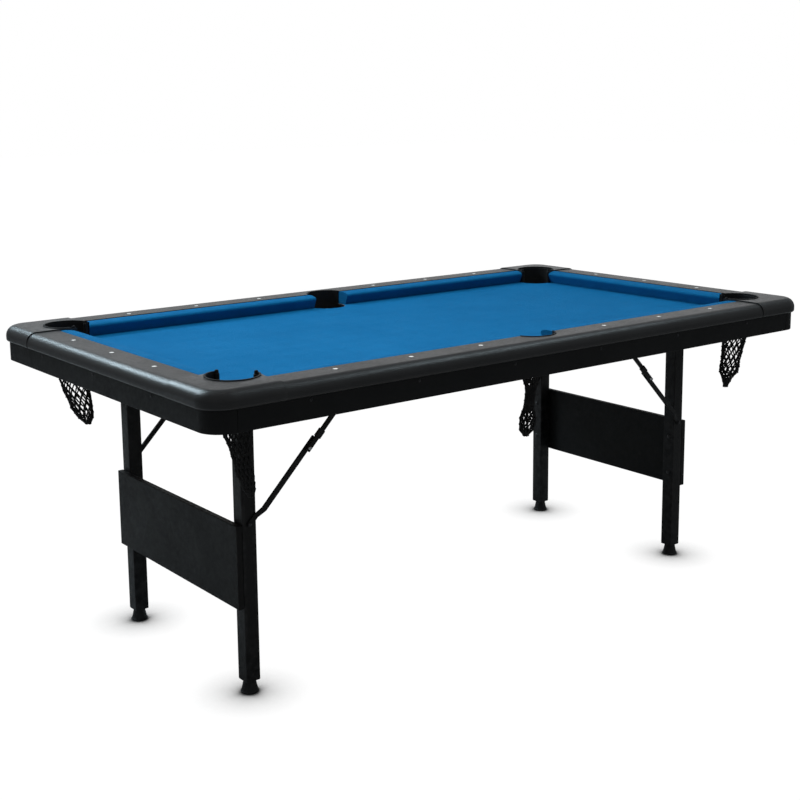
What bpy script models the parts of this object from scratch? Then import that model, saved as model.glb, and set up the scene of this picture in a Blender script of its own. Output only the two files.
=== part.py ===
"""A folding mini pool table.

Metres, +Z up. The origin is on the floor, under the middle of the table. X runs along the
table's length, and Y across it. Each leg pair folds inward, under the bed, on a cross tube.
"""

import math

import bmesh
import bpy
from mathutils import Vector

# ---------------------------------------------------------------- driving dimensions

GAP = 0.0003  # between two pieces that touch

# Overall sizes.
APRON_LENGTH = 1.933
APRON_WIDTH = 1.083
RAIL_TOP = 0.787

# Apron boards, which hang round the edge of the bed.
APRON_THICKNESS = 0.015
APRON_HEIGHT = 0.050
APRON_CORNER_RADIUS = 0.054
APRON_SEAM = 0.060  # from the table's end to where the end apron meets the long one

# Rails and the moulded corners between them.
RAIL_THICKNESS = 0.037
RAIL_OVERHANG = 0.007
RAIL_INSET = 0.080  # from the apron's face to the rail's inner edge
BULLNOSE_RADIUS = 0.026
LOWER_EDGE_RADIUS = 0.006
CORNER_SPAN = 0.176  # from the apron's face to the joint with a rail
CORNER_OVERHANG = 0.008
CORNER_RISE = 0.003
CORNER_RADIUS = 0.062

# Cushions and pockets.
NOSE_INSET = 0.1245  # from the apron's face to the cushion's nose
NOSE_BELOW_RAIL = 0.0085
CUSHION_FOOT_SETBACK = 0.012  # how far the cushion's foot stands behind its nose
CUSHION_NOSE_HEIGHT = 0.0035  # of the nose's upright face, and of the chamfer above it
CUSHION_NOSE_CHAMFER = 0.004
CUSHION_TOP_SLOPE = 0.016  # from the nose back to where the top levels out
CUSHION_FRONT_BELOW_RAIL = 0.002
CUSHION_BACK_BELOW_RAIL = 0.0015
CORNER_POCKET_RADIUS = 0.056
CORNER_JAW = 0.062  # from the pocket's centre to the tip of each jaw
CORNER_THROAT_ANGLE = 15.0  # degrees past the pocket's centre line where a jaw meets its wall
SIDE_POCKET_RADIUS = 0.055
SIDE_POCKET_SETBACK = 0.030  # from the cushion's nose line to the pocket's centre
SIDE_CUSHION_SLANT = 0.002  # how much wider a side pocket is at the noses than at the rail
LINER_THICKNESS = 0.0035
LINER_RISE = 0.0015

# Bed.
CLOTH_THICKNESS = 0.0015
BOARD_THICKNESS = 0.015

# Nets under the pockets.
NET_DEPTH = 0.208
NET_BAG_RADIUS = 0.0368
NET_STRING = 0.0018
NET_RIM_WIDTH = 0.004
NET_RIM_SHARE = 0.020  # the share of the depth at which the rim ends
NET_TAPER = ((0.65, 0.110), (0.0, 0.200), (0.0, 0.780))  # (share of the flare, of the depth)
NET_FLOOR = ((0.93, 0.860), (0.72, 0.950), (0.35, 1.000))  # (share of the radius, of the depth)

# Legs and the panel across each pair.
LEG_INSET_X = 0.2265  # from the apron's end face to the leg's centre
LEG_INSET_Y = 0.2625
LEG_WIDTH = 0.038
LEG_EDGE_RADIUS = 0.003
LEG_WALL = 0.0018
LEG_TOP_CLEARANCE = 0.0029
FOLDED_FOOT_CLEARANCE = 0.0005  # between the bed and the edge of a foot on a folded leg
END_PLATE_THICKNESS = 0.004
PANEL_BOTTOM = 0.213
PANEL_HEIGHT = 0.199
PANEL_THICKNESS = 0.015
PANEL_CHAMFER = 0.001

# Levelling feet.
FOOT_HEIGHT = 0.031
FOOT_RADIUS = 0.0214
FOOT_NECK_RADIUS = 0.0150
FOOT_NECK_HEIGHT = 0.008
FOOT_NECK_FLARE = 0.001
FOOT_PAD_HEIGHT = 0.006
FOOT_PAD_CHAMFER = 0.0015
STEM_RADIUS = 0.006
STEM_LENGTH = 0.034

# Cross tube and the brackets that it turns in.
PIN_RADIUS = 0.006
CROSS_TUBE_RADIUS = 0.011
BRACKET_THICKNESS = 0.003
BRACKET_WIDTH = 0.044
BRACKET_FLANGE = 0.032
BRACKET_BELOW_PIN = 0.014
RUNNING_CLEARANCE = 0.0003

# Folding braces: a lower link on the leg, an upper link under the bed, and a ring that slides
# on the upper link and locks the two in line.
BRACE_DROP = 0.300  # from the leg's pivot down to the lower link's pin
BRACE_REACH = 0.304  # from the leg's pivot inboard to the upper link's pin
BRACE_PIN_BELOW_BED = 0.0109
BRACE_PIN_RADIUS = 0.003
LINK_THICKNESS = 0.006
LOWER_LINK_WIDTH = 0.013
LOWER_LINK_TAIL = 0.030  # past the knee rivet
FLAT_END_THICKNESS = 0.003
FLAT_END_LENGTH = 0.024
JOGGLE_LENGTH = 0.022
LOWER_LANE = 0.010  # from the leg's outer face to the lower link's inner face
LANE_SPACE = 0.0035  # between the two links' lanes
UPPER_LINK_WIDTH = 0.011
UPPER_LINK_END = 0.008  # past the knee rivet
RING_LENGTH = 0.022
RING_WALL = 0.0015
RING_CLEARANCE = 0.0004
RING_ABOVE_TAIL = 0.001
BRACE_BRACKET_WIDTH = 0.020
BRACE_BRACKET_FLANGE = 0.022

ROUND_STEPS = 24
PIN_STEPS = 12
LINK_END_ANGLES = (15.0, 35.0, 60.0, 90.0)  # round a link's half-round end
CORNER_STEPS = 8
BULLNOSE_STEPS = 6

# ---------------------------------------------------------------- derived places

HALF_LENGTH = APRON_LENGTH / 2
HALF_WIDTH = APRON_WIDTH / 2
RAIL_BOTTOM = RAIL_TOP - RAIL_THICKNESS
CORNER_TOP = RAIL_TOP + CORNER_RISE
APRON_TOP = RAIL_BOTTOM - GAP
APRON_BOTTOM = RAIL_BOTTOM - APRON_HEIGHT
CLOTH_TOP = RAIL_BOTTOM - GAP
BOARD_TOP = CLOTH_TOP - CLOTH_THICKNESS - GAP
BOARD_BOTTOM = BOARD_TOP - BOARD_THICKNESS
UNDER_BED = BOARD_BOTTOM - GAP

RAIL_EDGE_X = HALF_LENGTH - RAIL_INSET
RAIL_EDGE_Y = HALF_WIDTH - RAIL_INSET
JOINT_X = HALF_LENGTH - CORNER_SPAN
JOINT_Y = HALF_WIDTH - CORNER_SPAN
NOSE_X = HALF_LENGTH - NOSE_INSET
NOSE_Y = HALF_WIDTH - NOSE_INSET
SIDE_POCKET_Y = NOSE_Y + SIDE_POCKET_SETBACK
LINER_OUTER_RADIUS = SIDE_POCKET_RADIUS + LINER_THICKNESS

LEG_X = HALF_LENGTH - LEG_INSET_X
LEG_Y = HALF_WIDTH - LEG_INSET_Y
LEG_INNER_FACE = LEG_Y - LEG_WIDTH / 2
LEG_OUTER_FACE = LEG_Y + LEG_WIDTH / 2
LEG_PIVOT_Z = BOARD_BOTTOM - max(
    LEG_WIDTH / 2 + LEG_TOP_CLEARANCE, FOOT_RADIUS + FOLDED_FOOT_CLEARANCE
)

LOWER_INNER = LEG_OUTER_FACE + LOWER_LANE
LOWER_OUTER = LOWER_INNER + LINK_THICKNESS
UPPER_INNER = LOWER_OUTER + LANE_SPACE
UPPER_OUTER = UPPER_INNER + LINK_THICKNESS
BRACE_LOWER_PIN_Z = LEG_PIVOT_Z - BRACE_DROP
BRACE_UPPER_PIN_Z = BOARD_BOTTOM - BRACE_PIN_BELOW_BED
BRACE_UPPER_PIN_X = LEG_X - BRACE_REACH

# The knee's place lets the two links lie flat under the bed when the leg is folded.
BRACE_RISE = BRACE_UPPER_PIN_Z - BRACE_LOWER_PIN_Z
BRACE_SPAN = math.hypot(BRACE_REACH, BRACE_RISE)
BRACE_ANGLE = math.atan2(BRACE_RISE, BRACE_REACH)
FOLDED_OFFSET = BRACE_REACH - BRACE_DROP
FOLDED_RISE = BRACE_RISE - BRACE_DROP
LOWER_LINK_LENGTH = (BRACE_SPAN**2 - FOLDED_OFFSET**2 - FOLDED_RISE**2) / (
    2 * (BRACE_SPAN - FOLDED_OFFSET)
)
UPPER_LINK_LENGTH = BRACE_SPAN - LOWER_LINK_LENGTH

ENDS = (("left", -1), ("right", 1))
SIDES = (("front", -1), ("back", 1))


# ---------------------------------------------------------------- helpers


def clear_scene():
    for obj in list(bpy.data.objects):
        bpy.data.objects.remove(obj, do_unlink=True)


def make_material(name, colour, roughness, metallic=0.0):
    material = bpy.data.materials.new(name)
    material.use_nodes = True
    shader = material.node_tree.nodes["Principled BSDF"]
    shader.inputs["Base Color"].default_value = (*colour, 1.0)
    shader.inputs["Roughness"].default_value = roughness
    shader.inputs["Metallic"].default_value = metallic
    material.diffuse_color = (*colour, 1.0)
    return material


def add_empty(name, place):
    """An empty on a joint's axis, which the pieces of one moving body are parented to."""
    empty = bpy.data.objects.new(name, None)
    empty.empty_display_size = 0.05
    empty.location = place
    bpy.context.scene.collection.objects.link(empty)
    return empty


def add_object(name, bm, material, parent):
    """A named object from a bmesh in world coordinates, with its origin on its parent empty."""
    bmesh.ops.recalc_face_normals(bm, faces=bm.faces)
    origin = parent.location.copy()
    bmesh.ops.translate(bm, vec=-origin, verts=bm.verts)
    mesh = bpy.data.meshes.new(name)
    bm.to_mesh(mesh)
    bm.free()
    mesh.materials.append(material)
    obj = bpy.data.objects.new(name, mesh)
    bpy.context.scene.collection.objects.link(obj)
    obj.parent = parent
    return obj


def loft(rings, closed=False):
    """A bmesh through rings of points, capped at both ends, or closed on itself like a sleeve."""
    bm = bmesh.new()
    loops = [[bm.verts.new(point) for point in ring] for ring in rings]
    pairs = list(zip(loops, loops[1:]))
    if closed:
        pairs.append((loops[-1], loops[0]))
    else:
        bm.faces.new(loops[0])
        bm.faces.new(loops[-1])
    count = len(loops[0])
    for near, far in pairs:
        for i in range(count):
            j = (i + 1) % count
            bm.faces.new((near[i], near[j], far[j], far[i]))
    return bm


def arc(centre, radius, start, end, steps):
    """Points on an arc in plan, from one angle to another in degrees, both ends included."""
    points = []
    for i in range(steps + 1):
        angle = math.radians(start + (end - start) * i / steps)
        points.append((centre[0] + radius * math.cos(angle), centre[1] + radius * math.sin(angle)))
    return points


def slab(outline, low, high):
    """An outline in plan, extruded in Z."""
    return loft([[(x, y, z) for x, y in outline] for z in (low, high)])


def flip(outline, end, side):
    """The outline of the +X, +Y quarter moved to another quarter of the table."""
    return [(end * x, side * y) for x, y in outline]


def turned(axis_point, axis, profile, steps=ROUND_STEPS):
    """A turned solid. The profile is (distance along the axis, radius) pairs from end to end."""
    axis = Vector(axis)
    across = axis.orthogonal().normalized()
    other = axis.cross(across)
    rings = []
    for distance, radius in profile:
        centre = Vector(axis_point) + axis * distance
        rings.append(
            [
                centre + (across * math.cos(a) + other * math.sin(a)) * radius
                for a in (math.tau * i / steps for i in range(steps))
            ]
        )
    return loft(rings)


def boolean(obj, tool_bm, operation):
    """Adds a Boolean with a hidden tool made from a bmesh in world coordinates."""
    name = f"{obj.name}_{operation.lower()}_{len(obj.modifiers)}"
    tool = add_object(name, tool_bm, None, obj.parent)
    tool.hide_render = True
    tool.display_type = "WIRE"
    modifier = obj.modifiers.new(operation.title(), "BOOLEAN")
    modifier.object = tool
    modifier.operation = operation
    modifier.solver = "EXACT"


def smooth(obj, angle=35.0):
    """Shades round faces smooth and keeps sharp edges sharp."""
    obj.data.shade_smooth()
    obj.data.set_sharp_from_angle(angle=math.radians(angle))


# ---------------------------------------------------------------- bed


def build_bed(root, board_material, cloth_material):
    inner_x = HALF_LENGTH - APRON_THICKNESS - GAP
    inner_y = HALF_WIDTH - APRON_THICKNESS - GAP
    radius = APRON_CORNER_RADIUS - APRON_THICKNESS - GAP
    outline = []
    for end, side, start in ((1, 1, 0), (-1, 1, 90), (-1, -1, 180), (1, -1, 270)):
        centre = (end * (inner_x - radius), side * (inner_y - radius))
        outline += arc(centre, radius, start, start + 90, CORNER_STEPS)
    board = add_object("bed_board", slab(outline, BOARD_BOTTOM, BOARD_TOP), board_material, root)
    for _, side in SIDES:
        for x, y, pocket in (
            (-NOSE_X, NOSE_Y, CORNER_POCKET_RADIUS),
            (0.0, SIDE_POCKET_Y, SIDE_POCKET_RADIUS),
            (NOSE_X, NOSE_Y, CORNER_POCKET_RADIUS),
        ):
            foot = (x, side * y, BOARD_BOTTOM - BOARD_THICKNESS)
            profile = ((0, pocket), (3 * BOARD_THICKNESS, pocket))
            boolean(board, turned(foot, (0, 0, 1), profile), "DIFFERENCE")

    # The cloth runs under the cushions to the rails' inner edges, with a bite at each pocket.
    half_x = RAIL_EDGE_X - GAP
    half_y = RAIL_EDGE_Y - GAP
    reach = half_y - SIDE_POCKET_Y
    side_angle = math.degrees(math.asin(reach / SIDE_POCKET_RADIUS))
    corner = corner_bite(half_x, half_y)
    side_bite = arc(
        (0.0, SIDE_POCKET_Y), SIDE_POCKET_RADIUS, side_angle, -180.0 - side_angle, ROUND_STEPS // 2
    )
    outline = corner + side_bite + flip(corner, -1, 1)[::-1]
    outline += flip(corner, -1, -1) + flip(side_bite, -1, -1) + flip(corner, 1, -1)[::-1]
    add_object(
        "bed_cloth", slab(outline, CLOTH_TOP - CLOTH_THICKNESS, CLOTH_TOP), cloth_material, root
    )


def corner_bite(half_x, half_y):
    """The arc round a corner pocket, from the cloth's end edge to its long edge."""
    start = -math.degrees(math.acos((half_x - NOSE_X) / CORNER_POCKET_RADIUS))
    end = -180.0 - math.degrees(math.asin((half_y - NOSE_Y) / CORNER_POCKET_RADIUS))
    return arc((NOSE_X, NOSE_Y), CORNER_POCKET_RADIUS, start, end, ROUND_STEPS // 2)


# ---------------------------------------------------------------- rails, corners and cushions


def edge_profile(top):
    """(inset, height) pairs up the outer edge of a rail: a small lower edge and a bullnose."""
    profile = []
    for i in range(3):
        angle = math.radians(90.0 * i / 2)
        inset = LOWER_EDGE_RADIUS * (1 - math.sin(angle))
        profile.append((inset, RAIL_BOTTOM + LOWER_EDGE_RADIUS * (1 - math.cos(angle))))
    for i in range(BULLNOSE_STEPS + 1):
        angle = math.radians(90.0 * i / BULLNOSE_STEPS)
        inset = BULLNOSE_RADIUS * (1 - math.cos(angle))
        profile.append((inset, top - BULLNOSE_RADIUS * (1 - math.sin(angle))))
    return profile


def build_rails(root, material):
    notch = LINER_OUTER_RADIUS + GAP
    angle = math.degrees(math.asin((RAIL_EDGE_Y - SIDE_POCKET_Y) / notch))
    notch_arc = arc((0.0, SIDE_POCKET_Y), notch, angle, 180.0 - angle, ROUND_STEPS)
    end_x = JOINT_X - GAP
    outer_y = HALF_WIDTH + RAIL_OVERHANG
    for name, side in SIDES:
        rings = []
        for inset, z in edge_profile(RAIL_TOP):
            outline = [(end_x, outer_y - inset), (end_x, RAIL_EDGE_Y)] + notch_arc
            outline += [(-end_x, RAIL_EDGE_Y), (-end_x, outer_y - inset)]
            rings.append([(x, side * y, z) for x, y in outline])
        smooth(add_object(f"rail_{name}", loft(rings), material, root))

    end_y = JOINT_Y - GAP
    outer_x = HALF_LENGTH + RAIL_OVERHANG
    for name, end in ENDS:
        rings = []
        for inset, z in edge_profile(RAIL_TOP):
            outline = [(outer_x - inset, -end_y), (outer_x - inset, end_y)]
            outline += [(RAIL_EDGE_X, end_y), (RAIL_EDGE_X, -end_y)]
            rings.append([(end * x, y, z) for x, y in outline])
        smooth(add_object(f"rail_{name}", loft(rings), material, root))


def corner_outline(inset):
    """The moulded corner in plan, with its outer edge moved in, round the pocket's open mouth."""
    outer_x = HALF_LENGTH + CORNER_OVERHANG
    outer_y = HALF_WIDTH + CORNER_OVERHANG
    centre = (outer_x - CORNER_RADIUS, outer_y - CORNER_RADIUS)
    outline = [(JOINT_X, outer_y - inset)]
    outline += arc(centre, CORNER_RADIUS - inset, 90.0, 0.0, CORNER_STEPS)
    outline += [(outer_x - inset, JOINT_Y), (RAIL_EDGE_X, JOINT_Y), (NOSE_X, NOSE_Y - CORNER_JAW)]
    throat = CORNER_THROAT_ANGLE - 90.0
    outline += arc((NOSE_X, NOSE_Y), CORNER_POCKET_RADIUS, throat, 90.0 - throat, ROUND_STEPS)
    outline += [(NOSE_X - CORNER_JAW, NOSE_Y), (JOINT_X, RAIL_EDGE_Y)]
    return outline


def build_corners(root, material):
    for side_name, side in SIDES:
        for end_name, end in ENDS:
            rings = []
            for inset, z in edge_profile(CORNER_TOP):
                rings.append([(x, y, z) for x, y in flip(corner_outline(inset), end, side)])
            smooth(add_object(f"corner_{side_name}_{end_name}", loft(rings), material, root))


def build_side_liners(root, material):
    """A thin liner in the rail's notch at each side pocket, flush with the rail's inner edge."""
    centre = (0.0, SIDE_POCKET_Y)
    reach = RAIL_EDGE_Y - SIDE_POCKET_Y
    start = math.degrees(math.asin(reach / SIDE_POCKET_RADIUS))
    inner = arc(centre, SIDE_POCKET_RADIUS, start, 180.0 - start, ROUND_STEPS)
    start = math.degrees(math.asin(reach / LINER_OUTER_RADIUS))
    outer = arc(centre, LINER_OUTER_RADIUS, 180.0 - start, start, ROUND_STEPS)
    for name, side in SIDES:
        bm = slab(flip(inner + outer, 1, side), RAIL_BOTTOM, RAIL_TOP + LINER_RISE)
        smooth(add_object(f"side_pocket_liner_{name}", bm, material, root))


def cushion_profile():
    """(distance in front of the rail, height) pairs round a cushion's cross-section."""
    width = NOSE_INSET - RAIL_INSET - GAP
    nose = RAIL_TOP - NOSE_BELOW_RAIL
    foot = RAIL_BOTTOM
    return [
        (0.0, foot),
        (width - CUSHION_FOOT_SETBACK, foot),
        (width, nose - CUSHION_NOSE_HEIGHT),
        (width, nose),
        (width - CUSHION_NOSE_CHAMFER, nose + CUSHION_NOSE_HEIGHT),
        (width - CUSHION_TOP_SLOPE, RAIL_TOP - CUSHION_FRONT_BELOW_RAIL),
        (0.0, RAIL_TOP - CUSHION_BACK_BELOW_RAIL),
    ]


def cushion(name, point, back_ends, nose_ends, root, material):
    """A cushion whose ends are cut at a slant. point(along, in_front, z) gives a place."""
    profile = cushion_profile()
    width = profile[2][0]
    rings = []
    for back, nose in zip(back_ends, nose_ends):
        rings.append([point(back + (nose - back) * u / width, u, z) for u, z in profile])
    smooth(add_object(name, loft(rings), material, root), 50.0)


def build_cushions(root, material):
    slant = CORNER_JAW - (NOSE_X - JOINT_X)
    jaw_gap = GAP * math.hypot(1.0, slant / (NOSE_INSET - RAIL_INSET)) + GAP
    side_end = SIDE_POCKET_RADIUS + GAP
    for side_name, side in SIDES:
        for end_name, end in ENDS:

            def on_long_rail(along, u, z, end=end, side=side):
                return (end * along, side * (RAIL_EDGE_Y - GAP - u), z)

            back = (side_end, JOINT_X - jaw_gap)
            nose = (side_end + SIDE_CUSHION_SLANT, NOSE_X - CORNER_JAW - jaw_gap)
            cushion(f"cushion_{side_name}_{end_name}", on_long_rail, back, nose, root, material)
    for end_name, end in ENDS:

        def on_short_rail(along, u, z, end=end):
            return (end * (RAIL_EDGE_X - GAP - u), along, z)

        back_end = JOINT_Y - jaw_gap
        nose_end = NOSE_Y - CORNER_JAW - jaw_gap
        back = (-back_end, back_end)
        nose = (-nose_end, nose_end)
        cushion(f"cushion_{end_name}", on_short_rail, back, nose, root, material)


# ---------------------------------------------------------------- aprons


def build_aprons(root, material):
    seam_x = HALF_LENGTH - APRON_SEAM
    for name, side in SIDES:
        x = seam_x - GAP
        outer = HALF_WIDTH
        inner = HALF_WIDTH - APRON_THICKNESS
        outline = flip([(-x, inner), (x, inner), (x, outer), (-x, outer)], 1, side)
        add_object(f"apron_{name}", slab(outline, APRON_BOTTOM, APRON_TOP), material, root)

    # Each end apron wraps round two corners to the seams on the long sides.
    inner_radius = APRON_CORNER_RADIUS - APRON_THICKNESS
    centre_x = HALF_LENGTH - APRON_CORNER_RADIUS
    centre_y = HALF_WIDTH - APRON_CORNER_RADIUS
    outer = [(seam_x, -HALF_WIDTH)]
    outer += arc((centre_x, -centre_y), APRON_CORNER_RADIUS, -90.0, 0.0, CORNER_STEPS)
    outer += arc((centre_x, centre_y), APRON_CORNER_RADIUS, 0.0, 90.0, CORNER_STEPS)
    outer += [(seam_x, HALF_WIDTH)]
    inner = [(seam_x, HALF_WIDTH - APRON_THICKNESS)]
    inner += arc((centre_x, centre_y), inner_radius, 90.0, 0.0, CORNER_STEPS)
    inner += arc((centre_x, -centre_y), inner_radius, 0.0, -90.0, CORNER_STEPS)
    inner += [(seam_x, -HALF_WIDTH + APRON_THICKNESS)]
    for name, end in ENDS:
        bm = slab(flip(outer + inner, end, 1), APRON_BOTTOM, APRON_TOP)
        smooth(add_object(f"apron_{name}", bm, material, root))


# ---------------------------------------------------------------- nets


def build_net(name, centre, pocket_radius, root, material):
    """A bag that hangs from a rim under the board: inside from its floor up, then outside down."""
    rim = pocket_radius + NET_RIM_WIDTH
    bag = NET_BAG_RADIUS
    outside = [(rim, 0.0), (rim, NET_RIM_SHARE)]
    outside += [(bag + flare * (rim - bag), depth) for flare, depth in NET_TAPER]
    outside += [(share * bag, depth) for share, depth in NET_FLOOR]
    rings = [(radius, share * NET_DEPTH) for radius, share in outside]
    inside = [(radius - NET_STRING, depth) for radius, depth in rings]
    inside[-1] = (inside[-1][0], inside[-1][1] - NET_STRING)
    points = []
    for radius, depth in inside[::-1] + rings:
        circle = arc(centre, radius, 0.0, 360.0, ROUND_STEPS)[:-1]
        points.append([(x, y, UNDER_BED - depth) for x, y in circle])
    smooth(add_object(name, loft(points), material, root), 60.0)


def build_nets(root, material):
    for side_name, side in SIDES:
        for end_name, end in ENDS:
            centre = (end * NOSE_X, side * NOSE_Y)
            name = f"net_{side_name}_{end_name}"
            build_net(name, centre, CORNER_POCKET_RADIUS, root, material)
        centre = (0.0, side * SIDE_POCKET_Y)
        build_net(f"net_{side_name}_middle", centre, SIDE_POCKET_RADIUS, root, material)


# ---------------------------------------------------------------- brackets under the bed


def angle_profile(face, outward, foot, flange, thickness):
    """An L in Y and Z: a plate that hangs from the bed, with a flange against the bed."""
    top = UNDER_BED
    return [
        (face, foot),
        (face, top),
        (face + outward * flange, top),
        (face + outward * flange, top - thickness),
        (face + outward * thickness, top - thickness),
        (face + outward * thickness, foot),
    ]


def build_leg_brackets(root, material):
    foot = LEG_PIVOT_Z - BRACKET_BELOW_PIN
    face = LEG_INNER_FACE - 2 * RUNNING_CLEARANCE
    profile = angle_profile(face, -1, foot, BRACKET_FLANGE, BRACKET_THICKNESS)
    for side_name, side in SIDES:
        for end_name, end in ENDS:
            rings = []
            for x in (end * LEG_X - BRACKET_WIDTH / 2, end * LEG_X + BRACKET_WIDTH / 2):
                rings.append([(x, side * y, z) for y, z in profile])
            name = f"leg_bracket_{side_name}_{end_name}"
            bracket = add_object(name, loft(rings), material, root)
            start = (end * LEG_X, side * (face - 2 * BRACKET_THICKNESS), LEG_PIVOT_Z)
            hole = PIN_RADIUS + RUNNING_CLEARANCE
            pin_hole = ((0, hole), (4 * BRACKET_THICKNESS, hole))
            boolean(bracket, turned(start, (0, side, 0), pin_hole), "DIFFERENCE")


def build_brace_brackets(root, material):
    """Each hangs outside its upper link and carries the pin that the link turns on."""
    foot = BRACE_UPPER_PIN_Z - 2 * BRACE_PIN_RADIUS
    face = UPPER_OUTER + 2 * RUNNING_CLEARANCE
    profile = angle_profile(face, 1, foot, BRACE_BRACKET_FLANGE, BRACKET_THICKNESS)
    for side_name, side in SIDES:
        for end_name, end in ENDS:
            x = end * BRACE_UPPER_PIN_X
            rings = []
            for edge in (x - BRACE_BRACKET_WIDTH / 2, x + BRACE_BRACKET_WIDTH / 2):
                rings.append([(edge, side * y, z) for y, z in profile])
            name = f"brace_bracket_{side_name}_{end_name}"
            bracket = add_object(name, loft(rings), material, root)
            start = (x, side * UPPER_INNER, BRACE_UPPER_PIN_Z)
            length = face - UPPER_INNER + BRACKET_THICKNESS / 2
            pin = ((0, BRACE_PIN_RADIUS), (length, BRACE_PIN_RADIUS))
            boolean(bracket, turned(start, (0, side, 0), pin, PIN_STEPS), "UNION")


# ---------------------------------------------------------------- leg frames


def build_leg(name, end, side, frame, material):
    """A square tube with a round top on the cross tube's pin, and a pin for the brace."""
    x = end * LEG_X
    half = LEG_WIDTH / 2
    profile = [(x + half, FOOT_HEIGHT)]
    profile += arc((x, LEG_PIVOT_Z), half, 0.0, 180.0, ROUND_STEPS // 2)
    profile += [(x - half, FOOT_HEIGHT)]
    rings = []
    for y in (side * LEG_INNER_FACE, side * LEG_OUTER_FACE):
        rings.append([(px, y, pz) for px, pz in profile])
    leg = add_object(name, loft(rings), material, frame)
    bevel = leg.modifiers.new("Rounded edges", "BEVEL")
    bevel.width = LEG_EDGE_RADIUS
    bevel.segments = 2
    bevel.limit_method = "ANGLE"
    bevel.angle_limit = math.radians(60.0)

    # The hollow stops short of the pivot, and the foot's stem opens it at the bottom.
    bore = half - LEG_WALL
    centre_y = side * LEG_Y
    square = [(x - bore, centre_y - bore), (x + bore, centre_y - bore)]
    square += [(x + bore, centre_y + bore), (x - bore, centre_y + bore)]
    hollow = slab(square, FOOT_HEIGHT + END_PLATE_THICKNESS, LEG_PIVOT_Z - half)
    boolean(leg, hollow, "DIFFERENCE")
    stem = STEM_RADIUS + RUNNING_CLEARANCE
    start = (x, centre_y, FOOT_HEIGHT - END_PLATE_THICKNESS)
    stem_hole = ((0, stem), (3 * END_PLATE_THICKNESS, stem))
    boolean(leg, turned(start, (0, 0, 1), stem_hole), "DIFFERENCE")
    pin_hole = PIN_RADIUS + RUNNING_CLEARANCE
    start = (x, side * (LEG_INNER_FACE - half), LEG_PIVOT_Z)
    through = ((0, pin_hole), (2 * LEG_WIDTH, pin_hole))
    boolean(leg, turned(start, (0, side, 0), through), "DIFFERENCE")
    start = (x, side * (LEG_OUTER_FACE - LEG_WALL / 2), BRACE_LOWER_PIN_Z)
    length = LEG_WALL / 2 + RUNNING_CLEARANCE * 2 + FLAT_END_THICKNESS
    pin = ((0, BRACE_PIN_RADIUS), (length, BRACE_PIN_RADIUS))
    boolean(leg, turned(start, (0, side, 0), pin, PIN_STEPS), "UNION")


def build_leg_frame(end_name, end, frame, steel, board):
    for side_name, side in SIDES:
        build_leg(f"leg_{side_name}_{end_name}", end, side, frame, steel)
    shoulder = LEG_INNER_FACE - 2 * RUNNING_CLEARANCE - BRACKET_THICKNESS - GAP
    tip = LEG_OUTER_FACE - LEG_WALL
    profile = ((-tip, PIN_RADIUS), (-shoulder, PIN_RADIUS), (-shoulder, CROSS_TUBE_RADIUS))
    profile += ((shoulder, CROSS_TUBE_RADIUS), (shoulder, PIN_RADIUS), (tip, PIN_RADIUS))
    axle = turned((end * LEG_X, 0, LEG_PIVOT_Z), (0, 1, 0), profile)
    smooth(add_object(f"cross_tube_{end_name}", axle, steel, frame))

    inner = LEG_X + LEG_WIDTH / 2 + GAP
    outer = inner + PANEL_THICKNESS
    outline = [(x, y * LEG_OUTER_FACE) for x, y in ((inner, -1), (outer, -1), (outer, 1), (inner, 1))]
    panel = slab(flip(outline, end, 1), PANEL_BOTTOM, PANEL_BOTTOM + PANEL_HEIGHT)
    panel = add_object(f"panel_{end_name}", panel, board, frame)
    bevel = panel.modifiers.new("Eased edges", "BEVEL")
    bevel.width = PANEL_CHAMFER
    bevel.segments = 1


def build_foot(name, end, side, frame, material):
    """A levelling foot: a pad, a cone, a neck against the leg and a threaded stem inside it."""
    profile = (
        (0.0, FOOT_RADIUS - FOOT_PAD_CHAMFER),
        (FOOT_PAD_CHAMFER, FOOT_RADIUS),
        (FOOT_PAD_HEIGHT, FOOT_RADIUS),
        (FOOT_HEIGHT - FOOT_NECK_HEIGHT, FOOT_NECK_RADIUS + FOOT_NECK_FLARE),
        (FOOT_HEIGHT - GAP, FOOT_NECK_RADIUS),
        (FOOT_HEIGHT - GAP, STEM_RADIUS),
        (FOOT_HEIGHT + STEM_LENGTH, STEM_RADIUS),
    )
    bm = turned((end * LEG_X, side * LEG_Y, 0.0), (0, 0, 1), profile)
    smooth(add_object(name, bm, material, frame))


# ---------------------------------------------------------------- folding braces


def link_body(pin, direction, across, stations):
    """A strap along a direction. Each station is (distance, half width, inner y, outer y)."""
    rings = []
    for distance, half, inner, outer in stations:
        centre = pin + direction * distance
        near = centre - across * half
        far = centre + across * half
        ring = [(near.x, inner, near.z), (far.x, inner, far.z)]
        ring += [(far.x, outer, far.z), (near.x, outer, near.z)]
        rings.append(ring)
    return loft(rings)


def rounded_end(half, lane):
    """Stations round a strap's half-round end, which is centred on its pin."""
    stations = []
    for degrees in LINK_END_ANGLES:
        angle = math.radians(degrees)
        stations.append((-half * math.cos(angle), half * math.sin(angle), *lane))
    return stations


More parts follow.
